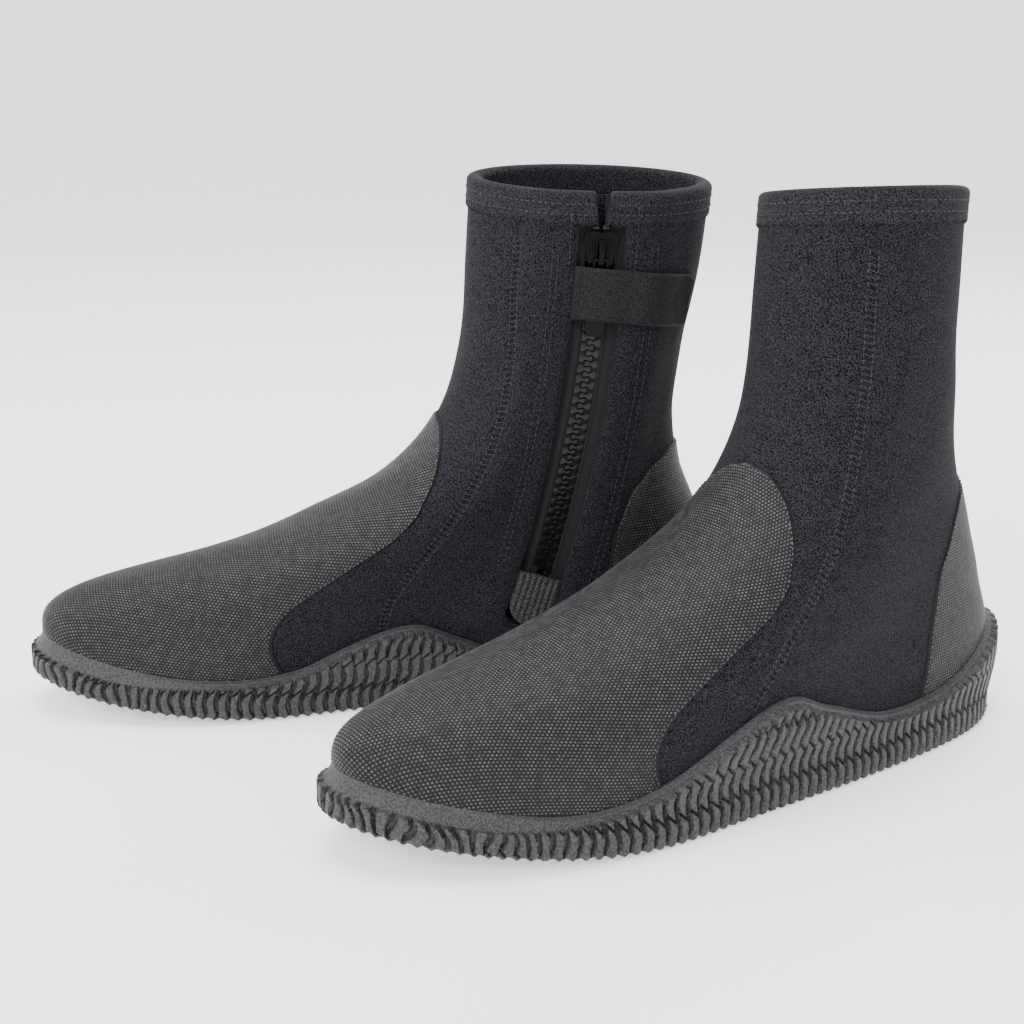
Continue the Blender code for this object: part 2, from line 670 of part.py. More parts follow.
def pull_tab():
    """Pull: a flat tab with an eye, whose cross-bar sits in the slider's bail."""
    half, length, eye, bevel = PULL_WIDTH / 2, PULL_LENGTH, PULL_EYE, PULL_BEVEL
    outer = [(-half + bevel, 0), (half - bevel, 0), (half, bevel), (half, length - 2 * bevel),
             (half - 2 * bevel, length), (2 * bevel - half, length), (-half, length - 2 * bevel), (-half, bevel)]
    hole = [(-eye[0], PULL_BAR), (eye[0], PULL_BAR), (eye[0], eye[1]), (-eye[0], eye[1])]
    start = SLIDER_CENTRE + PULL_PIVOT - PULL_BAR / 2
    tab = plate([outer, hole], PULL_THICKNESS)
    return placed(tab, lambda x, y, z: zip_point(x, start + y, PULL_DEPTH + z))


def gusset():
    """Inner flap behind the zip, its rear edge raised to the tape it is sewn to."""
    def shape(u, v, w):
        a = GUSSET_TOP + (GUSSET_BOTTOM - GUSSET_TOP) * u
        s = GUSSET_HALF_WIDTH * (2 * v - 1)
        depth = GUSSET_DEPTH + GUSSET_RAISE * ramp(s, GUSSET_FLAT, GUSSET_HALF_WIDTH - GUSSET_FLAT)
        return zip_point(s, a, depth - GUSSET_THICKNESS * (1 - w))

    return block(8, 6, shape)


# ---- the strap -----------------------------------------------------------------------------
def strap_middle(theta, front):
    """Height of the strap's middle line, falling toward the heel."""
    share = np.clip((front - theta) / (front - math.radians(STRAP_END)), -0.2, 1)
    return STRAP_FRONT_HEIGHT + (STRAP_REAR_HEIGHT - STRAP_FRONT_HEIGHT) * share


def band(boot, first, last, half_width, low, high, columns):
    """Strip along the strap's line between two ends, at a height above the boot's face.

    An end is an s in metres near the zip, or an angle in radians.
    """
    front = float(zip_theta(boot, np.array([STRAP_V]), STRAP_AXIS)[0])

    def end_theta(end, at):
        return zip_theta(boot, at, end) if abs(end) < 0.1 else np.full_like(at, end)

    def shape(u, v, w):
        at = np.full_like(u, STRAP_V)
        for _ in range(SETTLE):
            start, stop = end_theta(first, at), end_theta(last, at)
            theta = start + (stop - start) * u
            at = level(boot, theta, strap_middle(theta, front) + half_width * (2 * v - 1))
        return skin(boot, theta, at, low + (high - low) * w)

    return block(columns, 2, shape)


def strap_fold_ends(boot):
    """The line about which the tab folds back, along the strap's outer face."""
    front = float(zip_theta(boot, np.array([STRAP_V]), STRAP_AXIS)[0])
    theta = np.full(2, math.radians(STRAP_FOLD))
    at = level(boot, theta, strap_middle(theta, front) + STRAP_HALF_WIDTH * np.array([-1, 1]))
    return skin(boot, theta, at, STRAP_RISE + STRAP_THICKNESS)


def strap_bar_ends():
    """The line about which the strap bends, in the boot's frame."""
    reach = STRAP_HALF_WIDTH
    heights = (STRAP_FRONT_HEIGHT - reach, STRAP_FRONT_HEIGHT + reach)
    return [zip_point(STRAP_AXIS, zip_length(height, STRAP_AXIS), STRAP_BAR_OUT) for height in heights]


def strap_bar():
    low, high = strap_bar_ends()
    bm = bmesh.new()
    bmesh.ops.create_cone(bm, cap_ends=True, segments=10, radius1=STRAP_BAR_RADIUS, radius2=STRAP_BAR_RADIUS,
                          depth=1.0)

    def shape(x, y, z):
        return (low + high) / 2 + np.stack([x, y, 0 * z], -1) + z[:, None] * (high - low)

    return placed(bm, shape)


# ---- a boot --------------------------------------------------------------------------------
def add_sole(make):
    boot = make.boot
    make.add("outsole", "rubber", sole_slab(boot, SOLE_FLARE, 0.0, OUTSOLE_HEIGHT, 20, 2))
    make.add("sidewall", "rubber", sidewall(boot))
    top = FEATHER_HEIGHT + INSOLE
    make.add("insole", "foam", sole_slab(boot, -NEOPRENE - INSOLE_ROOM, FEATHER_HEIGHT, top, 16, 2))


def add_upper(make):
    boot = make.boot
    upper_rows = [1 + row for row in UPPER_ROWS]
    all_rows = LOWER_ROWS + tuple(upper_rows[1:])
    make.add("vamp", "neoprene", panel(boot, medial_edge_before, lateral_edge, 17, LOWER_ROWS))
    make.add("medial_panel", "neoprene", panel(boot, zip_front_edge, medial_edge, 4, LOWER_ROWS))
    make.add("rear_panel", "neoprene", panel(boot, lateral_edge, zip_rear_edge, 16, all_rows))
    make.add("shin_panel", "neoprene", panel(boot, medial_edge_before, lateral_edge, 8, upper_rows), "shaft")
    make.add("medial_shaft_panel", "neoprene", panel(boot, zip_front_edge, medial_edge, 3, upper_rows), "shaft")
    make.add("toe_overlay", "overlay", overlay(boot, TOE_SIDES, TOE_TOP, 0.0, OVERLAY_GAP, 12, 10))
    make.add("heel_overlay", "overlay", overlay(boot, HEEL_SIDES, HEEL_TOP, math.pi, OVERLAY_GAP, 10, 5))
    make.add("front_cuff", "binding", cuff_part(boot, cuff_front_end, lateral_edge, 10), "shaft")
    make.add("rear_cuff", "binding", cuff_part(boot, lateral_edge, cuff_rear_end, 12))


def add_zip(make):
    for name, side, pivot in (("front", -1, "shaft"), ("rear", 1, "")):
        make.add(name + "_tape", "webbing", tape(side), pivot)
        make.add(name + "_chain", "moulding", chain(side), pivot)
        edges = sorted((side * TOP_STOP[0], side * TOP_STOP[1]))
        stop = box((edges[0], TOP_STOP_ENDS[0], TAPE_DEPTH - TOP_STOP_HALF_DEPTH),
                   (edges[1], TOP_STOP_ENDS[1], TAPE_DEPTH + TOP_STOP_HALF_DEPTH))
        make.add(name + "_top_stop", "moulding", placed(stop, zip_point), pivot)
    low = CHAIN_START + (TEETH + 0.5) * TOOTH_PITCH + GAP
    stop = box((-CHAIN_HALF_WIDTH, low, TAPE_DEPTH - BOTTOM_STOP_HALF_DEPTH),
               (CHAIN_HALF_WIDTH, low + BOTTOM_STOP, TAPE_DEPTH + BOTTOM_STOP_HALF_DEPTH))
    make.add("bottom_stop", "moulding", placed(stop, zip_point))
    patch = zip_strip(3, (low - PATCH_OVERLAP, PATCH_END), (-PATCH_HALF_WIDTH, PATCH_HALF_WIDTH), PATCH_DEPTH)
    make.add("end_patch", "webbing", patch)
    make.add("gusset", "neoprene", gusset())
    make.add("slider", "moulding", slider(), "slider")
    make.add("pull_tab", "moulding", pull_tab(), "pull")


def add_strap(make):
    boot = make.boot
    end = math.radians(STRAP_END)
    strap_end, tab_start = math.radians(STRAP_FOLD + FOLD_GAP), math.radians(STRAP_FOLD - FOLD_GAP)
    top = STRAP_RISE + STRAP_THICKNESS
    hook = (math.radians(HOOK_START), math.radians(STRAP_END + HOOK_INSET))
    loop = (math.radians(HOOK_START + LOOP_ENDS[0]), math.radians(STRAP_END - LOOP_ENDS[1]))
    anchor = band(boot, *ANCHOR_ENDS, STRAP_HALF_WIDTH, 2 * GAP, ANCHOR_TOP, 2)
    make.add("strap_anchor", "webbing", anchor, "shaft")
    make.add("strap_bar", "webbing", strap_bar(), "strap_bar")
    strap = band(boot, STRAP_FRONT, strap_end, STRAP_HALF_WIDTH, STRAP_RISE, top, 7)
    tab = band(boot, tab_start, end, STRAP_HALF_WIDTH, STRAP_RISE, top, 5)
    make.add("strap", "webbing", strap, "strap_bar")
    make.add("strap_tab", "webbing", tab, "tab")
    make.add("hook_patch", "hook", band(boot, *hook, HOOK_HALF_WIDTH, *HOOK_LAYER, 4), "tab")
    make.add("loop_patch", "hook", band(boot, *loop, LOOP_HALF_WIDTH, 2 * GAP, LOOP_TOP, 4))


def build_boot(side, collection):
    make = Builder(side, collection)
    low, high = strap_bar_ends()
    make.pivot("shaft", (*SHAFT_AXIS, SHAFT_CUT))
    make.pivot("strap_bar", (low + high) / 2, "shaft")
    fold_low, fold_high = strap_fold_ends(make.boot)
    make.pivot("tab", (fold_low + fold_high) / 2, "strap_bar")
    make.pivot("slider", (ZIP_PLANE, ZIP_Y, ZIP_Z))
    make.pivot("pull", zip_point(0.0, SLIDER_CENTRE + PULL_PIVOT, PULL_DEPTH), "slider")
    add_sole(make)
    add_upper(make)
    add_zip(make)
    add_strap(make)
    return make


def stand_in_middle(makers, collection):
    """Slide both boots so that the pair's box is centred on the origin."""
    bpy.context.view_layer.update()
    corners = [item.matrix_world @ vert.co for item in collection.objects if item.type == "MESH"
               for vert in item.data.vertices]
    for axis in (0, 1):
        middle = (min(c[axis] for c in corners) + max(c[axis] for c in corners)) / 2
        for make in makers:
            make.root.location[axis] -= middle


def main():
    for item in list(bpy.data.objects):
        bpy.data.objects.remove(item)
    collection = bpy.data.collections.new("dive_boots")
    bpy.context.scene.collection.children.link(collection)
    makers = [build_boot(side, collection) for side in BOOTS]
    stand_in_middle(makers, collection)


main()
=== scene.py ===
"""Looks of the pair of zipped neoprene dive boots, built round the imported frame.

The upper's face is worked out again from the same few curves as the frame's own solids, so
every panel, overlay, seam and stitch lies on it. A point of the upper is named by theta, its
direction round the boot (0 front, 90 lateral, 180 heel, 270 medial), and by v, from 0 at the
feather edge to 1 at the cuff's rim. Lengths are metres, in the boot's own frame, where the
lateral side is +X and the toe points to -Y.
"""
import json
import math

import bmesh
import bpy
import numpy as np
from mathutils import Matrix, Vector


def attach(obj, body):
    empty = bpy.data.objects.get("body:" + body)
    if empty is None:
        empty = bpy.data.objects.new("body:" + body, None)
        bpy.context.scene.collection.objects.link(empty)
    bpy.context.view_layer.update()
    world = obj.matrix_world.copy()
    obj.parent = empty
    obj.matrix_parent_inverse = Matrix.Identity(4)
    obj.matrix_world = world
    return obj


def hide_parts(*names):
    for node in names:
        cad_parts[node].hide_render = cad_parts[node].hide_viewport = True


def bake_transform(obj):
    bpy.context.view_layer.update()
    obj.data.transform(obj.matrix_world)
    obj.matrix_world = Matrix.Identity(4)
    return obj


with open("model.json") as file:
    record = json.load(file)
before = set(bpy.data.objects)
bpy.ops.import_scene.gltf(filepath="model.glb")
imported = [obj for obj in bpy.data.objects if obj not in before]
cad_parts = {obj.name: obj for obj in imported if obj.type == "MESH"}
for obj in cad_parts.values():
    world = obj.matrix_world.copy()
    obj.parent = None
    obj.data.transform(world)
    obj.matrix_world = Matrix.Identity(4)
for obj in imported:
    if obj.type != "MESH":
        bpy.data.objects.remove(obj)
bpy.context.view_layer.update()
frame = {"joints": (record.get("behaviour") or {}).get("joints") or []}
JOINTS = {joint["name"]: joint for joint in frame["joints"]}

# ---- the upper's driving curves, as in the frame ------------------------------------------
NEOPRENE = 0.0047
SOLE_FLARE = 0.0066
OUTSOLE_HEIGHT = 0.0095
FEATHER_HEIGHT = 0.010
TOE_SPRING, SPRING_START, SPRING_LENGTH = 0.0102, -0.045, 0.095
RIM_TILT = 0.0038
CUFF_HEIGHT = 0.014
CUFF_OPENING = (0.0022, 0.0045)
FRONT_LINE = ((-0.160, 0.010), (-0.158, 0.0285), (-0.135, 0.0442), (-0.0955, 0.0592), (-0.050, 0.0765),
              (-0.013, 0.0945), (0.012, 0.120), (0.0240, 0.1545), (0.0265, 0.192), (0.0285, 0.2288))
BACK_LINE = ((0.143, 0.010), (0.147, 0.0295), (0.1435, 0.049), (0.1355, 0.0675), (0.1275, 0.0885),
             (0.1205, 0.110), (0.1185, 0.1335), (0.1212, 0.1605), (0.1260, 0.1925), (0.129, 0.2258))
WIDTH_LEVELS = (0.0, 3 / 9, 5 / 9, 1.0)
WIDTH_PLACES = (0.0, 0.25, 0.5, 0.75, 1.0)
LATERAL_WIDTH = ((0.054, 0.0525, 0.0385, 0.037, 0.044), (0.0495, 0.0495, 0.0435, 0.0395, 0.0455),
                 (0.0455, 0.0455, 0.0415, 0.0395, 0.0415), (0.038, 0.038, 0.038, 0.038, 0.038))
MEDIAL_WIDTH = ((0.051, 0.0455, 0.0335, 0.035, 0.044), (0.0475, 0.0455, 0.0395, 0.0375, 0.0455),
                (0.0455, 0.0435, 0.0415, 0.0395, 0.0415), (0.038, 0.038, 0.038, 0.038, 0.038))
MIDDLE_SHIFT = ((-0.010, -0.004, 0.002, 0.002, 0.0), (-0.006, -0.002, 0.001, 0.0, 0.0),
                (0.0, 0.0, 0.0, 0.0, 0.0), (0.0, 0.0, 0.0, 0.0, 0.0))
LATERAL_SEAM = ((0.0, 84.0), (0.22, 82.5), (0.33, 79.0), (0.52, 67.0), (0.66, 57.5), (1.0, 56.0))
MEDIAL_SEAM = ((0.0, 270.0), (0.16, 274.0), (0.40, 283.0), (0.61, 298.0), (0.77, 308.0), (1.0, 310.0))
SIDEWALL_LATERAL = ((-0.160, 0.0185), (-0.128, 0.0162), (-0.092, 0.0160), (-0.052, 0.0250), (-0.012, 0.0445),
                    (0.020, 0.0355), (0.060, 0.0235), (0.100, 0.0260), (0.145, 0.0440))
SIDEWALL_MEDIAL = ((-0.160, 0.0185), (-0.128, 0.0168), (-0.092, 0.0160), (-0.052, 0.0200), (-0.004, 0.0375),
                   (0.022, 0.0290), (0.050, 0.0190), (0.098, 0.0240), (0.145, 0.0440))
TOE_SIDES = ((0.0, 74.0), (0.20, 66.0), (0.38, 63.0), (0.70, 61.0))
TOE_TOP = ((0.0, 0.685), (20.0, 0.665), (38.0, 0.61), (52.0, 0.53), (60.0, 0.46), (64.0, 0.38))
HEEL_SIDES = ((0.0, 54.0), (0.60, 54.0))
HEEL_TOP = ((0.0, 0.56), (28.0, 0.548), (44.0, 0.51), (51.0, 0.46), (54.0, 0.39))
ZIP_PLANE = -0.038
ZIP_TOP, ZIP_BOTTOM, ZIP_RADIUS = (0.0815, 0.208), (0.056, 0.056), 0.60
ZIP_FLAT, ZIP_FADE, FLAT_START, FLAT_RISE = 0.0135, 0.024, 0.028, 0.018
ZIP_WINDOW, WINDOW_BOTTOM = 0.010, 0.034
TAPE_DEPTH = -0.0058
CHAIN_THICKNESS, TOOTH_PITCH, TEETH, CHAIN_START = 0.0028, 0.0046, 30, 0.0115
SLIDER_CENTRE = 0.0105
STRAP_HALF_WIDTH, STRAP_FRONT_HEIGHT, STRAP_REAR_HEIGHT, STRAP_AXIS = 0.011, 0.1818, 0.1758, -0.0095
STRAP_END, STRAP_FOLD = 213.0, 238.0
SHAFT_AXIS = (0.0350, 0.0400)
SQUASH = {"left": {"front": -0.0010, "back": -0.0210, "lateral": 0.0},
          "right": {"front": 0.0010, "back": 0.0052, "lateral": -0.005}}


# ---- curves ---------------------------------------------------------------------------------
def smooth(knots, values, at):
    """Cubic through the rows of values at knots, read at each entry of at."""
    knots, values, at = np.asarray(knots, float), np.asarray(values, float), np.asarray(at, float)
    slopes = np.gradient(values, knots, axis=0)
    low = np.clip(np.searchsorted(knots, at, side="right") - 1, 0, len(knots) - 2)
    width = (knots[low + 1] - knots[low]).reshape(at.shape + (1,) * (values.ndim - 1))
    s = (at - knots[low]).reshape(width.shape) / width
    start = (1 + 2 * s) * (1 - s) ** 2 * values[low] + s * (1 - s) ** 2 * width * slopes[low]
    end = s**2 * (3 - 2 * s) * values[low + 1] + s**2 * (s - 1) * width * slopes[low + 1]
    return start + end


def smooth_row(knots, rows, at):
    """Cubic through each row of rows (its last axis at knots), read at that row's entry of at."""
    slopes = np.gradient(rows, knots, axis=-1)
    low = np.clip(np.searchsorted(knots, at, side="right") - 1, 0, len(knots) - 2)
    width = knots[low + 1] - knots[low]
    s = ((at - knots[low]) / width)[..., None]
    index = np.broadcast_to(low[..., None, None], rows.shape[:-1] + (1,))
    width = width[..., None]

    def pick(table, shift):
        return np.take_along_axis(table, index + shift, -1)[..., 0]

    start = (1 + 2 * s) * (1 - s) ** 2 * pick(rows, 0) + s * (1 - s) ** 2 * width * pick(slopes, 0)
    end = s**2 * (3 - 2 * s) * pick(rows, 1) + s**2 * (s - 1) * width * pick(slopes, 1)
    return start + end


def curve(points, at):
    knots, values = np.array(points, float).T
    return smooth(knots, values, np.clip(at, knots[0], knots[-1]))


def ramp(value, start, width):
    """0 before start, 1 after start + width, and smooth between."""
    s = np.clip((value - start) / width, 0.0, 1.0)
    return s * s * (3 - 2 * s)


def zip_centre():
    (top_y, top_z), (low_y, low_z) = ZIP_TOP, ZIP_BOTTOM
    length = math.hypot(top_y - low_y, top_z - low_z)
    reach = math.sqrt(ZIP_RADIUS**2 - (length / 2) ** 2)
    middle_y, middle_z = (top_y + low_y) / 2, (top_z + low_z) / 2
    return middle_y - reach * (top_z - low_z) / length, middle_z + reach * (top_y - low_y) / length


ZIP_Y, ZIP_Z = zip_centre()
ZIP_START = math.atan2(ZIP_TOP[1] - ZIP_Z, ZIP_TOP[0] - ZIP_Y)
LINES = np.concatenate([FRONT_LINE, BACK_LINE], axis=1)
WIDTHS = np.stack([LATERAL_WIDTH, MEDIAL_WIDTH, MIDDLE_SHIFT], axis=1)


def zip_point(s, a, n):
    """Point at s toward the heel, a down the zip's arc and n out of its plane."""
    s, a, n = np.broadcast_arrays(s, a, n)
    angle = ZIP_START - a / ZIP_RADIUS
    radius = ZIP_RADIUS + s
    return np.stack([ZIP_PLANE - n, ZIP_Y + radius * np.cos(angle), ZIP_Z + radius * np.sin(angle)], -1)


def zip_offset(y, z):
    return np.hypot(y - ZIP_Y, z - ZIP_Z) - ZIP_RADIUS


def spring(y):
    return TOE_SPRING * np.clip((SPRING_START - y) / SPRING_LENGTH, 0.0, 2.0) ** 2


def exact_face(squash, theta, v):
    """The upper's outer face."""
    t = (1 - np.cos(theta)) / 2
    press = ramp(v, 0.45, 0.55)
    front_y, front_z, back_y, back_z = np.moveaxis(smooth(np.linspace(0, 1, len(LINES)), LINES, v), -1, 0)
    front_y = front_y + squash["front"] * press
    back_y = back_y + squash["back"] * press
    y = front_y + (back_y - front_y) * t
    z = front_z + (back_z - front_z) * t
    side = np.sin(theta)
    widths = smooth_row(np.array(WIDTH_PLACES), smooth(WIDTH_LEVELS, WIDTHS, v), t)
    lateral, medial, middle = np.moveaxis(widths, -1, 0)
    x = side * np.where(side > 0, lateral + squash["lateral"] * press, medial) + middle
    z = z + RIM_TILT * np.clip((v - 0.6) / 0.4, 0, 1) * side + spring(y)
    flat = 1 - ramp(np.abs(zip_offset(y, z)), ZIP_FLAT, ZIP_FADE)
    flat = flat * ramp(z, FLAT_START, FLAT_RISE) * (x < 0)
    return np.stack([x + (ZIP_PLANE - x) * flat, y, z], -1)


class Boot:
    """One boot: its place in the frame, and a fine table of its face and normals."""

    THETAS, LEVELS = 720, 320

    def __init__(self, side):
        self.side = side
        self.mirror = 1.0 if side == "left" else -1.0
        across = -np.array(JOINTS[side + "_zip"]["axis"])
        self.axes = np.array([across, (-across[1], across[0], 0.0), (0.0, 0.0, 1.0)])
        shaft = np.array(JOINTS[side + "_shaft_open"]["pos_m"]) * (1, 1, 0)
        self.origin = shaft - np.array([self.mirror * SHAFT_AXIS[0], SHAFT_AXIS[1], 0.0]) @ self.axes
        theta, v = np.meshgrid(np.arange(self.THETAS) * (2 * math.pi / self.THETAS),
                               np.linspace(0, 1, self.LEVELS), indexing="ij")
        face = exact_face(SQUASH[side], theta, v)
        around = np.roll(face, -1, 0) - np.roll(face, 1, 0)
        up = np.gradient(face, axis=1)
        normal = np.cross(around, up)
        normal /= np.linalg.norm(normal, axis=-1, keepdims=True)
        self.table = np.concatenate([face, normal], axis=-1)

    def read(self, theta, v):
        theta, v = np.broadcast_arrays(np.asarray(theta, float), np.asarray(v, float))
        i = theta / (2 * math.pi) * self.THETAS
        j = np.clip(v, 0, 1) * (self.LEVELS - 1)
        i0 = np.floor(i).astype(int)
        j0 = np.minimum(np.floor(j).astype(int), self.LEVELS - 2)
        a, b = (i - i0)[..., None], (j - j0)[..., None]
        i0, i1 = i0 % self.THETAS, (i0 + 1) % self.THETAS
        low = self.table[i0, j0] * (1 - a) + self.table[i1, j0] * a
        high = self.table[i0, j0 + 1] * (1 - a) + self.table[i1, j0 + 1] * a
        return low * (1 - b) + high * b

    def face(self, theta, v):
        return self.read(theta, v)[..., :3]

    def normal(self, theta, v):
        found = self.read(theta, v)[..., 3:]
        return found / np.linalg.norm(found, axis=-1, keepdims=True)

    def skin(self, theta, v, out):
        """Point at a distance out from the face."""
        found = self.read(theta, v)
        across = found[..., 3:] / np.linalg.norm(found[..., 3:], axis=-1, keepdims=True)
        return found[..., :3] + np.asarray(out)[..., None] * across

    def world(self, points):
        return (points * (self.mirror, 1, 1)) @ self.axes + self.origin


def halve(test, low, high, steps=22):
    """Where test turns from true to false between low and high."""
    for _ in range(steps):
        middle = (low + high) / 2
        keep = test(middle)
        low, high = np.where(keep, middle, low), np.where(keep, high, middle)
    return (low + high) / 2


def level(boot, theta, height):
    theta = np.asarray(theta, float)
    return halve(lambda v: boot.face(theta, v)[..., 2] < height, np.zeros_like(theta), np.ones_like(theta))


def zip_theta(boot, v, s):
    """The direction at which the face lies s toward the heel from the zip."""
    v, s = np.broadcast_arrays(np.asarray(v, float), s)
    low, high = np.full_like(v, math.radians(195)), np.full_like(v, math.radians(345))

    def heelward(theta):
        point = boot.face(theta, v)
        return zip_offset(point[..., 1], point[..., 2]) > s

    return halve(heelward, low, high)


def cuff_line(boot, theta):
    rim = boot.face(theta, np.ones_like(theta))[..., 2]
    return level(boot, theta, rim - CUFF_HEIGHT)


def lateral_edge(boot, v):
    return np.radians(curve(LATERAL_SEAM, v))


def medial_edge(boot, v):
    return np.radians(curve(MEDIAL_SEAM, v))


def medial_edge_before(boot, v):
    return medial_edge(boot, v) - 2 * math.pi


def window_half(z):
    rise = np.clip((z - WINDOW_BOTTOM) / ZIP_WINDOW, 0, 1)
    return ZIP_WINDOW * np.sqrt(1 - (1 - rise) ** 2)


def zip_front_edge(boot, v):
    theta = zip_theta(boot, v, 0.0)
    return zip_theta(boot, v, -window_half(boot.face(theta, v)[..., 2]))


def zip_rear_edge(boot, v):
    theta = zip_theta(boot, v, 0.0)
    return zip_theta(boot, v, window_half(boot.face(theta, v)[..., 2]))


def cuff_opening(boot, v):
    theta = zip_theta(boot, v, 0.0)
    low = cuff_line(boot, theta)
    share = np.clip((v - low) / (1 - low), 0, 1)
    return CUFF_OPENING[0] + (CUFF_OPENING[1] - CUFF_OPENING[0]) * share**2


def sidewall_height(boot, theta):
    y = boot.face(theta, np.full_like(theta, 0.05))[..., 1]
    height = np.where(np.sin(theta) > 0, curve(SIDEWALL_LATERAL, y), curve(SIDEWALL_MEDIAL, y))
    return height + spring(y)


# ---- meshes -----------------------------------------------------------------------------------
def length_along(grid, axis):
    """Running length of a grid of points along one axis."""
    steps = np.linalg.norm(np.diff(grid, axis=axis), axis=-1)
    pad = [(0, 0), (0, 0)]
    pad[axis] = (1, 0)
    return np.cumsum(np.pad(steps, pad), axis=axis)


def lengths(grid):
    return np.stack([length_along(grid, 0), length_along(grid, 1)], -1)


def quads(rows, columns, start=0, ring=False):
    """Faces of a grid of rows x columns points numbered from start."""
    index = start + np.arange(rows * columns).reshape(rows, columns)
    after = np.roll(index, -1, 0) if ring else index[1:]
    before = index if ring else index[:-1]
    corners = (before[:, :-1], after[:, :-1], after[:, 1:], before[:, 1:])
    return np.stack(corners, -1).reshape(-1, 4)


class Shape:
    """Collects closed bodies in a boot's frame and makes one object of them."""

    def __init__(self):
        self.points, self.faces, self.uvs, self.kinds, self.count = [], [], [], [], 0

    def add(self, points, faces, uv=None, kind=0):
        points = np.asarray(points, float).reshape(-1, 3)
        uv = points[:, :2] if uv is None else np.asarray(uv, float).reshape(-1, 2)
        self.points.append(points)
        self.uvs.append(uv)
        kinds = np.broadcast_to(kind, len(faces))
        self.faces += [tuple(int(i) + self.count for i in face) for face in faces]
        self.kinds.append(kinds)
        self.count += len(points)
        return self

    def slab(self, outer, inner, ring=False, inner_kind=0, kind=0):
        """Closed body between two grids of points with the same number of rows and columns."""
        rows, columns = outer.shape[:2]
        total = rows * columns
        faces = [quads(rows, columns, 0, ring), quads(rows, columns, total, ring)[:, ::-1]]
        index = np.arange(total).reshape(rows, columns)
        edges = [(index[:, 0], index[:, 0] + total, ring), (index[:, -1] + total, index[:, -1], ring)]
        if not ring:
            edges += [(index[0] + total, index[0], False), (index[-1], index[-1] + total, False)]
        for first, second, closed in edges:
            after_first = np.roll(first, -1) if closed else first[1:]
            after_second = np.roll(second, -1) if closed else second[1:]
            before_first = first if closed else first[:-1]
            before_second = second if closed else second[:-1]
            faces.append(np.stack([before_first, before_second, after_second, after_first], -1))
        kinds = np.concatenate([np.full(len(f), inner_kind if k == 1 else kind) for k, f in enumerate(faces)])
        uv = np.concatenate([lengths(outer).reshape(-1, 2), lengths(inner).reshape(-1, 2)])
        return self.add(np.concatenate([outer.reshape(-1, 3), inner.reshape(-1, 3)]), np.concatenate(faces),
                        uv, kinds)

    def solid(self, bm, place=None, kind=0):
        """Adds a bmesh body, its points moved by place(x, y, z)."""
        bm.verts.ensure_lookup_table()
        co = np.array([v.co[:] for v in bm.verts])
        faces = [[v.index for v in f.verts] for f in bm.faces]
        bm.free()
        points = co if place is None else place(co[:, 0], co[:, 1], co[:, 2])
        return self.add(points, faces, co[:, :2], kind)

    def build(self, name, boot, materials, sharp=45.0):
        points = boot.world(np.concatenate(self.points))
        mesh = bpy.data.meshes.new(name)
        mesh.from_pydata(points.tolist(), [], self.faces)
        bm = bmesh.new()
        bm.from_mesh(mesh)
        bmesh.ops.recalc_face_normals(bm, faces=bm.faces[:])
        bm.to_mesh(mesh)
        bm.free()
        layer = mesh.uv_layers.new(name="Cloth")
        index = np.zeros(len(mesh.loops), np.int32)
        mesh.loops.foreach_get("vertex_index", index)
        layer.data.foreach_set("uv", np.concatenate(self.uvs)[index].astype(np.float32).ravel())
        mesh.polygons.foreach_set("material_index", np.concatenate(self.kinds).astype(np.int32))
        for item in materials:
            mesh.materials.append(item)
        mesh.shade_smooth()
        mesh.set_sharp_from_angle(angle=math.radians(sharp))
        made = bpy.data.objects.new(name, mesh)
        bpy.context.scene.collection.objects.link(made)
        return made


def crowded(count, edge=0.06):
    """Numbers from 0 to 1, closer together at both ends."""
    u = np.linspace(0, 1, count)
    ends = np.array([0.0, 0.15, 0.35, 0.65, 1.0]) * edge
    inner = np.linspace(edge, 1 - edge, count - 8)
    return np.sort(np.unique(np.concatenate([ends[:-1], inner, 1 - ends[:-1]]))) if count > 12 else u


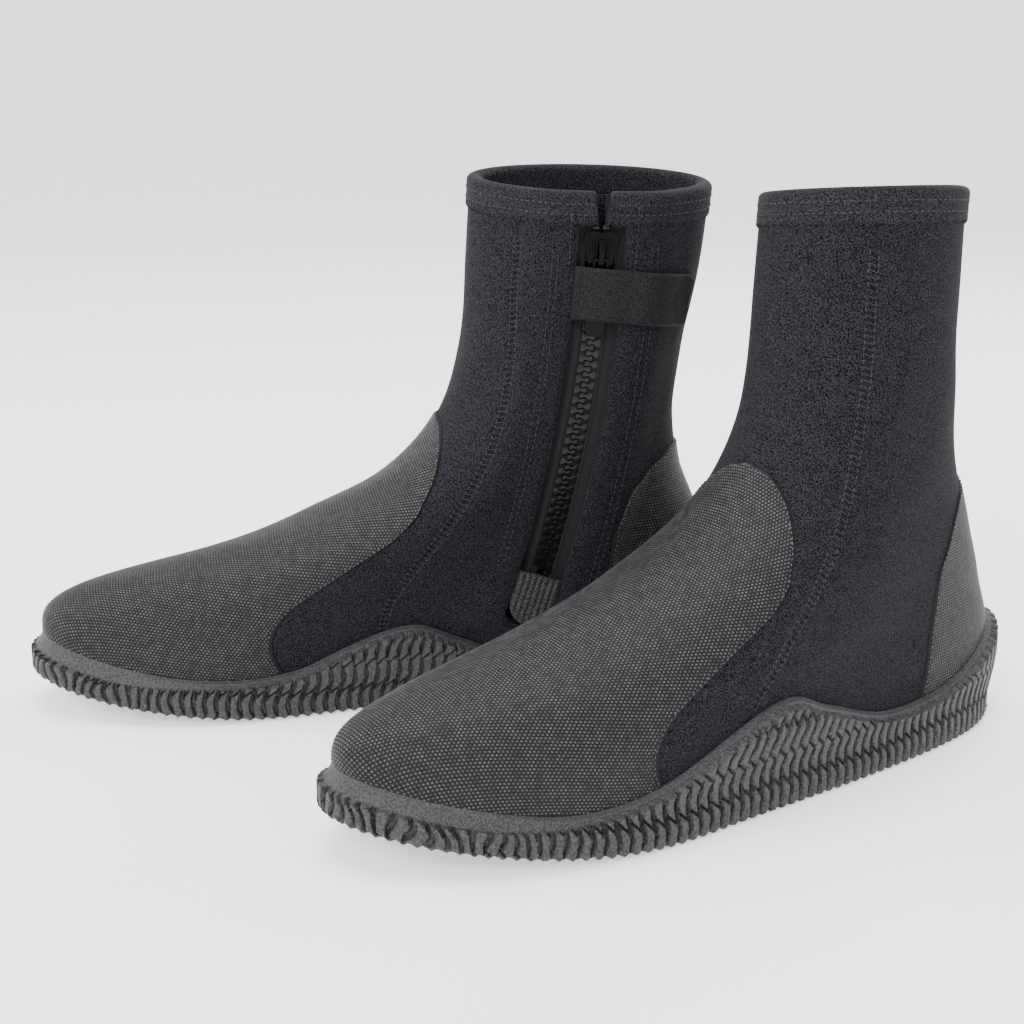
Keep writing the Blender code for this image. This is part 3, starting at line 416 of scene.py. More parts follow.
# ---- materials -----------------------------------------------------------------------------------
class Paint:
    """A node material whose textures are laid out in metres of cloth."""

    def __init__(self, name, colour, roughness, **extra):
        self.made = bpy.data.materials.new(name)
        self.made.use_nodes = True
        self.tree = self.made.node_tree
        self.shader = self.tree.nodes["Principled BSDF"]
        self.shader.inputs["Base Color"].default_value = (*colour, 1)
        self.shader.inputs["Roughness"].default_value = roughness
        for socket, value in extra.items():
            self.shader.inputs[socket.replace("_", " ")].default_value = value
        self.colour = colour
        self.uv = self.node("ShaderNodeUVMap")
        self.uv.uv_map = "Cloth"
        self.last_bump = None

    def node(self, kind, **values):
        made = self.tree.nodes.new(kind)
        for name, value in values.items():
            if name in made.inputs:
                made.inputs[name].default_value = value
            else:
                setattr(made, name, value)
        return made

    def link(self, source, target):
        self.tree.links.new(source, target)

    def stretched(self, across, along, turn=0.0):
        """Cloth coordinates in repeats of across x along metres."""
        mapping = self.node("ShaderNodeMapping")
        mapping.inputs["Rotation"].default_value = (0, 0, math.radians(turn))
        mapping.inputs["Scale"].default_value = (1 / across, 1 / along, 1)
        self.link(self.uv.outputs[0], mapping.inputs["Vector"])
        return mapping.outputs[0]

    def noise(self, size, detail=2.0):
        made = self.node("ShaderNodeTexNoise", Scale=1.0, Detail=detail)
        self.link(self.stretched(size, size), made.inputs["Vector"])
        return made.outputs[0]

    def object_noise(self, size, detail=3.0):
        made = self.node("ShaderNodeTexNoise", Scale=1 / size, Detail=detail)
        place = self.node("ShaderNodeTexCoord")
        self.link(place.outputs["Object"], made.inputs["Vector"])
        return made.outputs[0]

    def wave(self, across, along, turn=0.0, distortion=0.0):
        made = self.node("ShaderNodeTexWave", Scale=0.5, Distortion=distortion)
        made.wave_profile = "SIN"
        self.link(self.stretched(across, along, turn), made.inputs["Vector"])
        return made.outputs[1]

    def bump(self, height, distance, strength=1.0):
        made = self.node("ShaderNodeBump", Distance=distance, Strength=strength)
        self.link(height, made.inputs["Height"])
        if self.last_bump:
            self.link(self.last_bump, made.inputs["Normal"])
        self.last_bump = made.outputs[0]
        self.link(self.last_bump, self.shader.inputs["Normal"])
        return self

    def tint(self, factor, low, high, start=0.3, end=0.7):
        """Colour between low and high times the base colour, by a texture."""
        ramp_node = self.node("ShaderNodeValToRGB")
        stops = ramp_node.color_ramp.elements
        stops[0].position, stops[1].position = start, end
        stops[0].color = (*(low * c for c in self.colour), 1)
        stops[1].color = (*(high * c for c in self.colour), 1)
        self.link(factor, ramp_node.inputs[0])
        self.link(ramp_node.outputs[0], self.shader.inputs["Base Color"])
        return self

    def shine(self, factor, low, high):
        """Roughness between low and high, by a texture."""
        made = self.node("ShaderNodeMapRange")
        made.inputs["To Min"].default_value = low
        made.inputs["To Max"].default_value = high
        self.link(factor, made.inputs["Value"])
        self.link(made.outputs[0], self.shader.inputs["Roughness"])
        return self


def knit(name, colour, sheen, size=0.00052):
    """Fine jersey face: light yarn over dark gaps."""
    paint = Paint(name, colour, 0.85, Sheen_Weight=sheen, Sheen_Roughness=0.45, Specular_IOR_Level=0.06)
    loops = paint.object_noise(size, 1.0)
    paint.tint(loops, 0.12, 2.75, 0.38, 0.64)
    paint.bump(loops, 0.00022, 0.6).bump(paint.object_noise(0.005), 0.0002, 0.3)
    return paint.made


def overlay_base():
    paint = Paint("overlay_sheet", (0.0085, 0.0087, 0.0092), 0.55, Specular_IOR_Level=0.12)
    paint.tint(paint.noise(0.0011, 3.0), 0.4, 1.7, 0.3, 0.7)
    paint.bump(paint.noise(0.0006, 3.0), 0.00012, 0.5)
    return paint.made


def overlay_dot():
    paint = Paint("overlay_mesh", (0.034, 0.0348, 0.036), 0.30, Specular_IOR_Level=0.34)
    paint.tint(paint.object_noise(0.0030), 0.40, 1.8, 0.36, 0.66)
    paint.bump(paint.object_noise(0.0005), 0.00012, 0.6)
    return paint.made


def rubber(name, colour, grain=0.0009):
    paint = Paint(name, colour, 0.6, Specular_IOR_Level=0.30)
    grains = paint.object_noise(grain, 4.0)
    paint.tint(grains, 0.45, 1.75, 0.38, 0.64)
    paint.shine(paint.object_noise(0.0012), 0.36, 0.72)
    paint.bump(grains, 0.0004, 0.7).bump(paint.object_noise(0.003), 0.0004, 0.35)
    return paint.made


def twill(name, colour):
    paint = Paint(name, colour, 0.7, Specular_IOR_Level=0.15)
    ribs = paint.wave(0.0009, 0.0009, 38.0)
    paint.tint(ribs, 0.5, 1.8, 0.2, 0.9)
    paint.bump(ribs, 0.00018, 0.7)
    return paint.made


def weave(name, colour, size=0.0011, shine=0.72):
    paint = Paint(name, colour, shine, Specular_IOR_Level=0.10)
    warp, weft = paint.wave(size, 10.0), paint.wave(10.0, size, 90.0)
    paint.tint(paint.object_noise(size * 0.5, 1.0), 0.35, 1.9, 0.38, 0.64)
    paint.bump(warp, 0.00012, 0.5).bump(weft, 0.00012, 0.3)
    return paint.made


def plastic(name, colour, rough, reflect):
    paint = Paint(name, colour, rough, Specular_IOR_Level=reflect)
    paint.bump(paint.object_noise(0.0012), 0.00005, 0.25)
    paint.shine(paint.object_noise(0.006), rough * 0.8, rough * 1.5)
    return paint.made


def thread(name, colour):
    paint = Paint(name, colour, 0.55, Specular_IOR_Level=0.2)
    paint.tint(paint.object_noise(0.0015), 0.6, 1.5, 0.35, 0.65)
    paint.bump(paint.object_noise(0.0003), 0.00006, 0.5)
    return paint.made


MATERIALS = {
    "neoprene": knit("neoprene_knit", (0.0092, 0.0090, 0.0112), 0.02),
    "lining": knit("lining_knit", (0.008, 0.008, 0.009), 0.02, 0.0007),
    "binding": knit("binding_knit", (0.0112, 0.0110, 0.0132), 0.03, 0.0005),
    "overlay": overlay_base(),
    "dot": overlay_dot(),
    "rubber": rubber("sole_rubber", (0.028, 0.0285, 0.0298)),
    "lip": rubber("lip_rubber", (0.030, 0.0305, 0.032), 0.0007),
    "tread": rubber("tread_rubber", (0.030, 0.0305, 0.032)),
    "tape": twill("zip_tape_twill", (0.013, 0.013, 0.014)),
    "patch": weave("end_patch_weave", (0.036, 0.036, 0.036), 0.0010),
    "plastic": plastic("zip_moulding", (0.0042, 0.0042, 0.0046), 0.18, 0.24),
    "gloss": plastic("slider_moulding", (0.0012, 0.0012, 0.0014), 0.07, 0.09),
    "webbing": weave("strap_webbing", (0.0125, 0.0125, 0.0132), 0.0009),
    # the strap's end: a darker tab fabric, which also carries painted shade for the rear of the strap lying
    # flat and turned from the light
    "tab": weave("strap_tab_webbing", (0.0050, 0.0050, 0.0054), 0.0009),
    "hook": knit("hook_and_loop", (0.010, 0.010, 0.011), 0.05, 0.0009),
    "thread": thread("seam_thread", (0.026, 0.026, 0.030)),
    "light_thread": thread("overlay_thread", (0.060, 0.060, 0.060)),
    "foam": knit("insole_cloth", (0.016, 0.016, 0.019), 0.05, 0.0007),
}


# ---- which body a piece follows --------------------------------------------------------------------
BEND_ACROSS, BEND_UP = 0.0636, 0.149     # over these lengths the front half goes from still to fully open
BEND_START = (0.0315, 0.205)             # x of the lateral seam, and its height where bending starts


def bend(boot, piece):
    """The shaft's front half, still at the sole and the lateral seam and swinging at the zip: here the ends
    of its bend line are worked out but not used, and the piece's transform is only baked.
    """
    slope = np.array([-1 / BEND_ACROSS, 0.0, 1 / BEND_UP])
    start = np.array([BEND_START[0], 0.0, BEND_START[1]])
    ends = boot.world(np.array([start, start + slope / (slope @ slope)]))
    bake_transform(piece)


def fix(boot, piece, body):
    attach(piece, f"{boot.side}_{body}")


def stands_for(boot, piece, slot, *nodes):
    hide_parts(*(f"{boot.side}_{node}" for node in nodes))


# ---- neoprene ----------------------------------------------------------------------------------------
SEAM_ROOM = 0.00003
SEAM_TUCK = math.radians(0.8)               # the rear cloth runs this far under the front at the lateral seam
PILLOW, PILLOW_WIDTH = 0.0010, 0.0016      # how deep and how wide a panel rolls down at its seams


def lateral_tuck(boot, v):
    """The rear pieces' edge, under the front ones, so that no light shows when the shaft opens."""
    return lateral_edge(boot, v) - SEAM_TUCK


def drape(theta, v):
    """Slack of the neoprene: soft waves round the ankle, none at the sole, zip and cuff."""
    from_zip = np.abs(np.degrees(theta) % 360 - 258)
    calm = ramp(v, 0.12, 0.2) * (1 - ramp(v, 0.72, 0.2)) * (1 - ramp(from_zip, 55, -25))
    waves = np.sin(31 * v + 3.0 * np.sin(theta * 2 + 0.6)) * np.sin(theta * 3 + 9 * v)
    return 0.00045 * calm * waves


def wall(boot, first, last, columns, rows, ends=(True, True)):
    """Panel between two seams, from the feather edge to the cuff's binding."""
    u, share = np.meshgrid(crowded(columns), crowded(rows, 0.03), indexing="ij")
    theta = (first(boot, np.full_like(u, 0.5)) + last(boot, np.full_like(u, 0.5))) / 2
    for _ in range(5):
        at = share * (cuff_line(boot, theta) + 0.006)
        theta = first(boot, at) + (last(boot, at) - first(boot, at)) * u
    face = boot.face(theta, at)
    across = length_along(face, 0)
    width = across[-1:]
    inset = SEAM_ROOM / np.maximum(width, 1e-4)
    theta = first(boot, at) + (last(boot, at) - first(boot, at)) * (inset + (1 - 2 * inset) * u)
    near = np.minimum(across + (0 if ends[0] else 1), width - across + (0 if ends[1] else 1))
    out = drape(theta, at) - PILLOW * np.exp(-(near / PILLOW_WIDTH) ** 2)
    return boot.skin(theta, at, out), boot.skin(theta, at, np.full_like(out, -NEOPRENE))


def make_upper(boot):
    for name, first, last, columns, nodes, moves in (
            ("front_upper", medial_edge_before, lateral_edge, 120, ("vamp", "shin_panel"), True),
            ("medial_upper", zip_front_edge, medial_edge, 44, ("medial_panel", "medial_shaft_panel"), True),
            ("rear_upper", lateral_tuck, zip_rear_edge, 130, ("rear_panel",), False)):
        outer, inner = wall(boot, first, last, columns, 110)
        piece = Shape().slab(outer, inner, inner_kind=1).build(
            f"{boot.side}_{name}", boot, (MATERIALS["neoprene"], MATERIALS["lining"]))
        stands_for(boot, piece, "neoprene", *nodes)
        if moves:
            bend(boot, piece)
        else:
            fix(boot, piece, "boot")


BINDING_OUT = 0.0011
BINDING_IN = 0.0012
BINDING_ROLL = 12


def binding(boot, first, last, columns):
    """Folded band over the rim: outside, over the top in a round roll, and down inside."""
    outside = np.linspace(0, 1, 12)
    half = NEOPRENE / 2 + (BINDING_OUT + BINDING_IN) / 2
    u, k = np.meshgrid(crowded(columns, 0.05), np.arange(len(outside) + BINDING_ROLL + 8), indexing="ij")
    theta = (first(boot, np.ones_like(u)) + last(boot, np.ones_like(u))) / 2
    turn = np.clip((k - len(outside) + 1) / BINDING_ROLL, 0, 1) * math.pi
    inside = np.clip((k - len(outside) - BINDING_ROLL + 1) / 8, 0, 1)
    down = np.where(k < len(outside), 1 - k / (len(outside) - 1.0), inside)
    for _ in range(4):
        low = cuff_line(boot, theta) + 0.0022 * np.cos(theta * 2 * math.pi * 0.042 / 0.0029)
        at = low + (0.990 - low) * (1 - down)
        theta = first(boot, at) + (last(boot, at) - first(boot, at)) * u
    gather = 0.00035 * np.sin(length_along(boot.face(theta, at), 0) / 0.0022 * math.pi) * np.sin(turn / 2)
    edge = 0.0007 * ramp(down, 0.9, 0.1)
    out = -NEOPRENE / 2 + (BINDING_OUT - BINDING_IN) / 2
    out = out + (half + gather - edge) * np.cos(turn)
    stitch = 0.00035 * (np.exp(-((down - 0.42) / 0.035) ** 2) + np.exp(-((down - 0.72) / 0.035) ** 2))
    out = out - stitch * (turn < 0.1)
    points = boot.skin(theta, at, out)
    points[..., 2] += half * 0.75 * np.sin(turn)
    middle = boot.skin(theta, at, -NEOPRENE / 2 + 0.25 * (out + NEOPRENE / 2))
    middle[..., 2] += half * 0.2 * np.sin(turn) - 0.0006
    return points, middle


def cuff_front_end(boot, v):
    return zip_theta(boot, v, -cuff_opening(boot, v)) - 2 * math.pi


def cuff_rear_end(boot, v):
    return zip_theta(boot, v, cuff_opening(boot, v))


def make_cuff(boot):
    for name, first, last, moves in (("front_cuff", cuff_front_end, lateral_edge, True),
                                     ("rear_cuff", lateral_tuck, cuff_rear_end, False)):
        outer, inner = binding(boot, first, last, 110)
        piece = Shape().slab(outer, inner).build(f"{boot.side}_{name}_binding", boot, (MATERIALS["binding"],))
        stands_for(boot, piece, "cuff_binding", name)
        if moves:
            bend(boot, piece)
        else:
            fix(boot, piece, "boot")


# ---- overlays ------------------------------------------------------------------------------------------
OVERLAY = 0.0010
DOT_ROW, DOT_STEP = 0.00128, 0.00150       # between rows, and along one
DOT_LENGTH, DOT_WIDTH, DOT_HEIGHT = 0.00062, 0.00044, 0.00042


def overlay_grid(boot, sides, top_edge, middle, columns, rows):
    u, v = np.meshgrid(crowded(columns, 0.02), crowded(rows, 0.02), indexing="ij")
    theta = np.full_like(u, middle)
    for _ in range(5):
        low = level(boot, theta, sidewall_height(boot, theta) - 0.003)
        top = curve(top_edge, np.degrees(np.abs(theta - middle)))
        at = low + (top - low) * v
        theta = middle + (2 * u - 1) * np.radians(curve(sides, at))
    return theta, at


def overlay_inside(boot, sides, top_edge, middle, theta, v, margin):
    """True where a point lies inside the overlay's outline by about a margin in degrees."""
    away = np.degrees(np.abs((theta - middle + math.pi) % (2 * math.pi) - math.pi))
    return (away < curve(sides, v) - margin) & (v < curve(top_edge, away) - margin / 250)


def dots(shape, boot, theta, v, tangent_step=1e-3):
    """A raised oval at each point, long side round the boot."""
    centre = boot.face(theta, v)
    normal = boot.normal(theta, v)
    around = boot.face(theta + tangent_step, v) - boot.face(theta - tangent_step, v)
    around /= np.linalg.norm(around, axis=-1, keepdims=True)
    up = np.cross(normal, around)
    ground = centre + (OVERLAY - 0.00008 + drape(theta, v))[:, None] * normal
    corners = []
    for k in range(6):
        angle = math.pi * k / 3
        offset = DOT_LENGTH * math.cos(angle) * around + DOT_WIDTH * 1.15 * math.sin(angle) * up
        corners.append(ground + offset)
    corners.append(ground + DOT_HEIGHT * normal)
    points = np.stack(corners, 1).reshape(-1, 3)
    start = np.arange(len(theta)) * 7
    faces = []
    for first in start:
        faces += [(first + k, first + (k + 1) % 6, first + 6) for k in range(6)]
        faces.append(tuple(first + k for k in range(5, -1, -1)))
    shape.add(points, faces, kind=1)


def toe_dots(boot):
    """Places of the toe mesh: rows across the foot at even steps along its ridge."""
    tilt = math.radians(28)

    def along(theta, v):
        point = boot.face(theta, v)
        return point[..., 1] * math.cos(tilt) + point[..., 2] * math.sin(tilt)

    ridge_v = np.linspace(0.02, 0.70, 1500)
    ridge = boot.face(np.zeros_like(ridge_v), ridge_v)
    run = np.concatenate([[0], np.cumsum(np.linalg.norm(np.diff(ridge, axis=0), axis=1))])
    row_v = np.interp(np.arange(0, run[-1], DOT_ROW), run, ridge_v)
    levels = along(np.zeros_like(row_v), row_v)
    theta = np.radians(np.linspace(-80, 80, 161))
    grid_theta, target = np.meshgrid(theta, levels, indexing="ij")
    v = halve(lambda at: along(grid_theta, at) < target, np.zeros_like(target), np.ones_like(target), 18)
    length = length_along(boot.face(grid_theta, v), 0)
    length = length - length[80]
    found_theta, found_v = [], []
    for row in range(len(levels)):
        places = (np.arange(-70, 71) + 0.5 * (row % 2)) * DOT_STEP
        places = places[(places > length[0, row]) & (places < length[-1, row])]
        found_theta.append(np.interp(places, length[:, row], theta))
        found_v.append(np.interp(places, length[:, row], v[:, row]))
    return np.concatenate(found_theta), np.concatenate(found_v)


def heel_dots(boot):
    """Places of the heel mesh: level rows, spaced evenly round the heel."""
    found_theta, found_v = [], []
    theta = np.radians(np.linspace(115, 245, 131))
    for row, height in enumerate(np.arange(0.02, 0.125, DOT_ROW)):
        v = level(boot, theta, np.full_like(theta, height))
        run = np.concatenate([[0], np.cumsum(np.linalg.norm(np.diff(boot.face(theta, v), axis=0), axis=1))])
        places = np.arange(0.5 * (row % 2), run[-1] / DOT_STEP) * DOT_STEP
        found_theta.append(np.interp(places, run, theta))
        found_v.append(np.interp(places, run, v))
    return np.concatenate(found_theta), np.concatenate(found_v)


def make_overlays(boot):
    for name, sides, top_edge, middle, columns, rows, places, moves in (
            ("toe_overlay", TOE_SIDES, TOE_TOP, 0.0, 120, 110, toe_dots, True),
            ("heel_overlay", HEEL_SIDES, HEEL_TOP, math.pi, 90, 70, heel_dots, False)):
        theta, v = overlay_grid(boot, sides, top_edge, middle, columns, rows)
        face = boot.face(theta, v)
        across, up = lengths(face)[..., 0], lengths(face)[..., 1]
        near = np.minimum(np.minimum(across, across[-1:] - across), up[:, -1:] - up)
        out = OVERLAY * (1 - np.exp(-near / 0.0005) * 0.75) + drape(theta, v)
        shape = Shape().slab(boot.skin(theta, v, out), boot.skin(theta, v, 0.00005 + drape(theta, v)))
        theta, v = places(boot)
        keep = overlay_inside(boot, sides, top_edge, middle, theta, v, 1.2)
        keep &= boot.face(theta, v)[..., 2] > sidewall_height(boot, theta) + 0.0002
        dots(shape, boot, theta[keep], v[keep])
        piece = shape.build(f"{boot.side}_{name}_mesh", boot, (MATERIALS["overlay"], MATERIALS["dot"]), 80.0)
        stands_for(boot, piece, "overlay", name)
        if moves:
            bend(boot, piece)
        else:
            fix(boot, piece, "boot")


# ---- stitches ------------------------------------------------------------------------------------------
class Stitches:
    """Thread laid on the face of a boot."""

    SIDES = 6

    def __init__(self, boot):
        self.boot, self.shape = boot, Shape()

    def laid(self, centre, along, normal, length, radius):
        """A stitch at each centre: a short bead, tapered at both ends."""
        along = along / np.linalg.norm(along, axis=-1, keepdims=True)
        side = np.cross(normal, along)
        rings = [centre - along * length / 2]
        for share in (-0.3, 0.3):
            for k in range(self.SIDES):
                angle = 2 * math.pi * k / self.SIDES
                rim = radius * (math.cos(angle) * side + math.sin(angle) * normal)
                rings.append(centre + along * length * share + rim)
        rings.append(centre + along * length / 2)
        points = np.stack(rings, 1)
        n = self.SIDES
        one = [(0, 1 + (k + 1) % n, 1 + k) for k in range(n)]
        one += [(1 + k, 1 + (k + 1) % n, 1 + n + (k + 1) % n, 1 + n + k) for k in range(n)]
        one += [(2 * n + 1, 1 + n + k, 1 + n + (k + 1) % n) for k in range(n)]
        firsts = range(0, len(centre) * (2 * n + 2), 2 * n + 2)
        faces = [tuple(i + first for i in face) for first in firsts for face in one]
        self.shape.add(points.reshape(-1, 3), faces)

    def path(self, theta, v, pitch, out):
        """Even places along a line on the face, with its direction and normal."""
        line = self.boot.face(theta, v)
        run = np.concatenate([[0], np.cumsum(np.linalg.norm(np.diff(line, axis=0), axis=1))])
        at = np.arange(pitch / 2, run[-1], pitch)
        theta, v = np.interp(at, run, theta), np.interp(at, run, v)
        centre = self.boot.skin(theta, v, out + drape(theta, v))
        return centre, np.gradient(centre, axis=0), self.boot.normal(theta, v)

    def row(self, theta, v, out=0.0001, pitch=0.0027, share=0.72, radius=0.00026):
        centre, along, normal = self.path(theta, v, pitch, out)
        self.laid(centre, along, normal, pitch * share, radius)

    def flatlock(self, theta, v, half=0.0017, pitch=0.0024, out=-0.0002):
        """Covered seam: two rows of stitches and the threads that cross between them."""
        centre, along, normal = self.path(theta, v, pitch, out)
        side = np.cross(normal, along / np.linalg.norm(along, axis=-1, keepdims=True))
        for sign in (-1, 1):
            self.laid(centre + sign * half * side, along + 0.15 * side * pitch, normal, pitch * 0.7, 0.00027)
        lean = 2 * half * side + along * 0.6
        self.laid(centre, lean, normal, 2 * half * 1.15, 0.00016)

    def build(self, name, colour, moves):
        piece = self.shape.build(f"{self.boot.side}_{name}", self.boot, (MATERIALS[colour],), 80.0)
        if moves:
            bend(self.boot, piece)
        else:
            fix(self.boot, piece, "boot")


def make_stitches(boot):
    fronts, rears = Stitches(boot), Stitches(boot)
    lateral_v = np.linspace(0.20, 0.93, 150)
    fronts.flatlock(lateral_edge(boot, lateral_v) - 0.012, lateral_v)
    medial_v = np.linspace(0.15, 0.93, 150)
    fronts.flatlock(medial_edge(boot, medial_v), medial_v)
    for s in (-0.0205, -0.0180):
        side_v = np.linspace(0.34, 0.92, 120)
        fronts.row(zip_theta(boot, side_v, s), side_v, radius=0.00018)
    for s in (0.0212, 0.0242):
        side_v = np.linspace(0.17, 0.92, 150)
        rears.row(zip_theta(boot, side_v, s), side_v, radius=0.00022)
    for share in (0.28, 0.58):
        for stitches, first, last in ((fronts, cuff_front_end, lateral_edge),
                                      (rears, lateral_edge, cuff_rear_end)):
            u = np.linspace(0.012, 0.988, 140)
            theta = first(boot, np.full_like(u, 0.96)) * (1 - u) + last(boot, np.full_like(u, 0.96)) * u
            bottom = cuff_line(boot, theta)
            stitches.row(theta, bottom + (1 - bottom) * share, out=BINDING_OUT + 0.00005, pitch=0.0027,
                         radius=0.00024)
    for stitches, s in ((fronts, -0.0135), (rears, 0.0145)):
        column = np.linspace(0.90, 0.985, 30)
        stitches.row(zip_theta(boot, column, s), column, out=BINDING_OUT, pitch=0.0022, radius=0.00022)
    fronts.build("front_stitching", "thread", True)
    rears.build("rear_stitching", "thread", False)
    for name, sides, top_edge, middle, moves in (("toe_overlay", TOE_SIDES, TOE_TOP, 0.0, True),
                                                 ("heel_overlay", HEEL_SIDES, HEEL_TOP, math.pi, False)):
        theta, at = overlay_grid(boot, sides, top_edge, middle, 90, 90)
        edge_theta = np.concatenate([theta[2, :-2], theta[2:-2, -3], theta[-3, -3::-1]])
        edge_v = np.concatenate([at[2, :-2], at[2:-2, -3], at[-3, -3::-1]])
        above = boot.face(edge_theta, edge_v)[..., 2] > sidewall_height(boot, edge_theta) + 0.0005
        edging = Stitches(boot)
        edging.row(edge_theta[above], edge_v[above], out=OVERLAY + 0.00005, pitch=0.0021, share=0.6,
                   radius=0.00022)
        edging.build(name + "_stitching", "light_thread", moves)


# ---- the sole ------------------------------------------------------------------------------------------
SLAT_ROW, SLAT_PITCH = 0.0122, 0.0051      # height of a band of slats, and from slat to slat
SLAT_BOW, SLAT_SLANT = 0.0013, 0.36         # how far a groove bends, and the slope of the slits between bands
GROOVE, SLIT, CUT_SLOPE = 0.00022, 0.00016, 0.00050
LIP_HEIGHT, LIP_OUT = 0.0020, 0.0034
TOE_LIP_HEIGHT, TOE_LIP_OUT = 0.0056, 0.0010
RELIEF = 0.0024


def toe_share(y):
    """1 at the toe and 0 behind the ball of the foot."""
    return ramp(-y, 0.080, 0.055)


def slats(run, height, y):
    """Height of the moulded slats, 0 in the grooves to 1, along the sole's edge and up from the ground."""
    toe = toe_share(y)
    run = run + 0.0009 * (1 + 1.6 * toe) * np.sin(run / 0.029 + 4 * np.sin(run / 0.083))
    run = run + 0.0013 * toe * np.sin(height / 0.0031 + run / 0.0047)
    height = height + 0.0008 * np.sin(run / 0.017) + 0.0016 * toe * np.sin(run / 0.0061)
    band = height / SLAT_ROW + SLAT_SLANT * (run / SLAT_PITCH % 1 - 0.5)
    row, f = np.floor(band), band % 1
    bend_way = np.where(row % 2 > 0, 1.0, -1.0)
    along = (run + bend_way * SLAT_BOW * np.sin(math.pi * f)) / SLAT_PITCH
    a, which = along % 1, np.floor(along)
    width = GROOVE * (1 + 1.6 * np.sin(math.pi * f))
    cut = 1 - ramp(np.minimum(a, 1 - a) * SLAT_PITCH, width, CUT_SLOPE)
    slit = 1 - ramp(np.minimum(f, 1 - f) * SLAT_ROW, SLIT, CUT_SLOPE)
    uneven = 0.5 + 0.5 * np.sin(which * 12.9 + row * 7.1)
    crown = 0.78 + 0.12 * np.sin(math.pi * a) ** 0.6 + 0.10 * uneven
    from_middle = np.hypot((a - 0.5) * SLAT_PITCH, (f - 0.45) * SLAT_ROW)
    stud = np.where((row == 0) & (which % 2 > 0), 0.16 * (1 - ramp(from_middle, 0.0005, 0.0006)), 0.0)
    return np.clip(crown + stud - 0.98 * np.maximum(cut, 0.82 * slit), 0, 1.1)


def edge_point(boot, theta, out):
    """Point of the feather edge, moved out in plan."""
    point = boot.face(theta, np.zeros_like(theta))
    across = boot.normal(theta, np.full_like(theta, 0.02))
    across[..., 2] = 0
    return point + np.asarray(out)[..., None] * across / np.linalg.norm(across, axis=-1, keepdims=True)


def even_round(boot, count):
    """Directions round the boot at even steps of the sole's edge, and the length to each."""
    theta = np.linspace(0, 2 * math.pi, 1441)
    line = edge_point(boot, theta, np.full_like(theta, SOLE_FLARE))
    run = np.concatenate([[0], np.cumsum(np.linalg.norm(np.diff(line, axis=0), axis=1))])
    at = np.linspace(0, run[-1], count + 1)[:-1]
    whole = round(run[-1] / SLAT_PITCH) * SLAT_PITCH
    return np.interp(at, run, theta), at * (whole / run[-1])


def upright(normal, height):
    """Normals that turn level toward the sole's joint, so that wall and outsole meet flush."""
    normal = normal.copy()
    normal[..., 2] *= ramp(height, FEATHER_HEIGHT, 0.007)
    return normal / np.linalg.norm(normal, axis=-1, keepdims=True)


ROUND = 1860


def make_sidewall(boot):
    theta, run = even_round(boot, ROUND)
    top = level(boot, theta, sidewall_height(boot, theta))
    share = np.concatenate([np.linspace(0, 0.955, 38), [0.97, 0.983, 0.993, 1.0]])
    grid_theta, v = np.meshgrid(theta, share, indexing="ij")
    at = top[:, None] * v
    face = boot.face(grid_theta, at)
    height = face[..., 2] - spring(face[..., 1])
    up = length_along(face, 1)
    down = up[:, -1:] - up
    toe = toe_share(face[..., 1])
    lip_height = LIP_HEIGHT + (TOE_LIP_HEIGHT - LIP_HEIGHT) * toe
    step = ramp(down, lip_height, 0.0008)
    relief = slats(np.broadcast_to(run[:, None], v.shape), height, face[..., 1])
    plain_lip = LIP_OUT * (0.40 + 0.60 * ramp(down, 0.0, 0.0011))
    toe_lip = TOE_LIP_OUT + (SOLE_FLARE - RELIEF - TOE_LIP_OUT) * (down / lip_height).clip(0, 1) ** 1.3
    lip = plain_lip * (1 - toe) + toe_lip * toe
    out = lip + (SOLE_FLARE - RELIEF - lip) * step + RELIEF * relief * step
    points = face + out[..., None] * upright(boot.normal(grid_theta, at), height)
    points[:, 0, 2] = FEATHER_HEIGHT - 0.0003 + spring(points[:, 0, 1])
    back = boot.skin(grid_theta[:, [-1, 20, 0]], at[:, [-1, 20, 0]], np.full((len(theta), 3), 0.0003))
    back[:, 2, 2] = FEATHER_HEIGHT + spring(back[:, 2, 1])
    loop = np.concatenate([points, back], axis=1)
    rows, columns = loop.shape[:2]
    index = np.arange(rows * columns).reshape(rows, columns)
    after, beside = np.roll(index, -1, 0), np.roll(index, -1, 1)
    faces = np.stack([index, after, np.roll(after, -1, 1), beside], -1).reshape(-1, 4)
    kinds = np.zeros((rows, columns), int)
    kinds[:, :len(share)] = down < lip_height + 0.0004
    shape = Shape().add(loop, faces, lengths(loop), kinds.reshape(-1))
    piece = shape.build(f"{boot.side}_sole_wall", boot, (MATERIALS["rubber"], MATERIALS["lip"]), 60.0)
    stands_for(boot, piece, "sidewall_rubber", "sidewall")
    fix(boot, piece, "boot")


def tread(x, y):
    """Depth of the grooves in the underside: chevrons between two edge channels."""
    wave = (y + 0.6 * np.abs(x)) / 0.0085 % 1
    groove = np.exp(-((wave - 0.5) * 0.0085 / 0.0011) ** 2)
    spine = np.exp(-(x / 0.0013) ** 2)
    cross = np.exp(-(((np.abs(x) - 0.018) / 0.0010) ** 2))
    return 0.0022 * np.clip(groove + spine + cross, 0, 1)


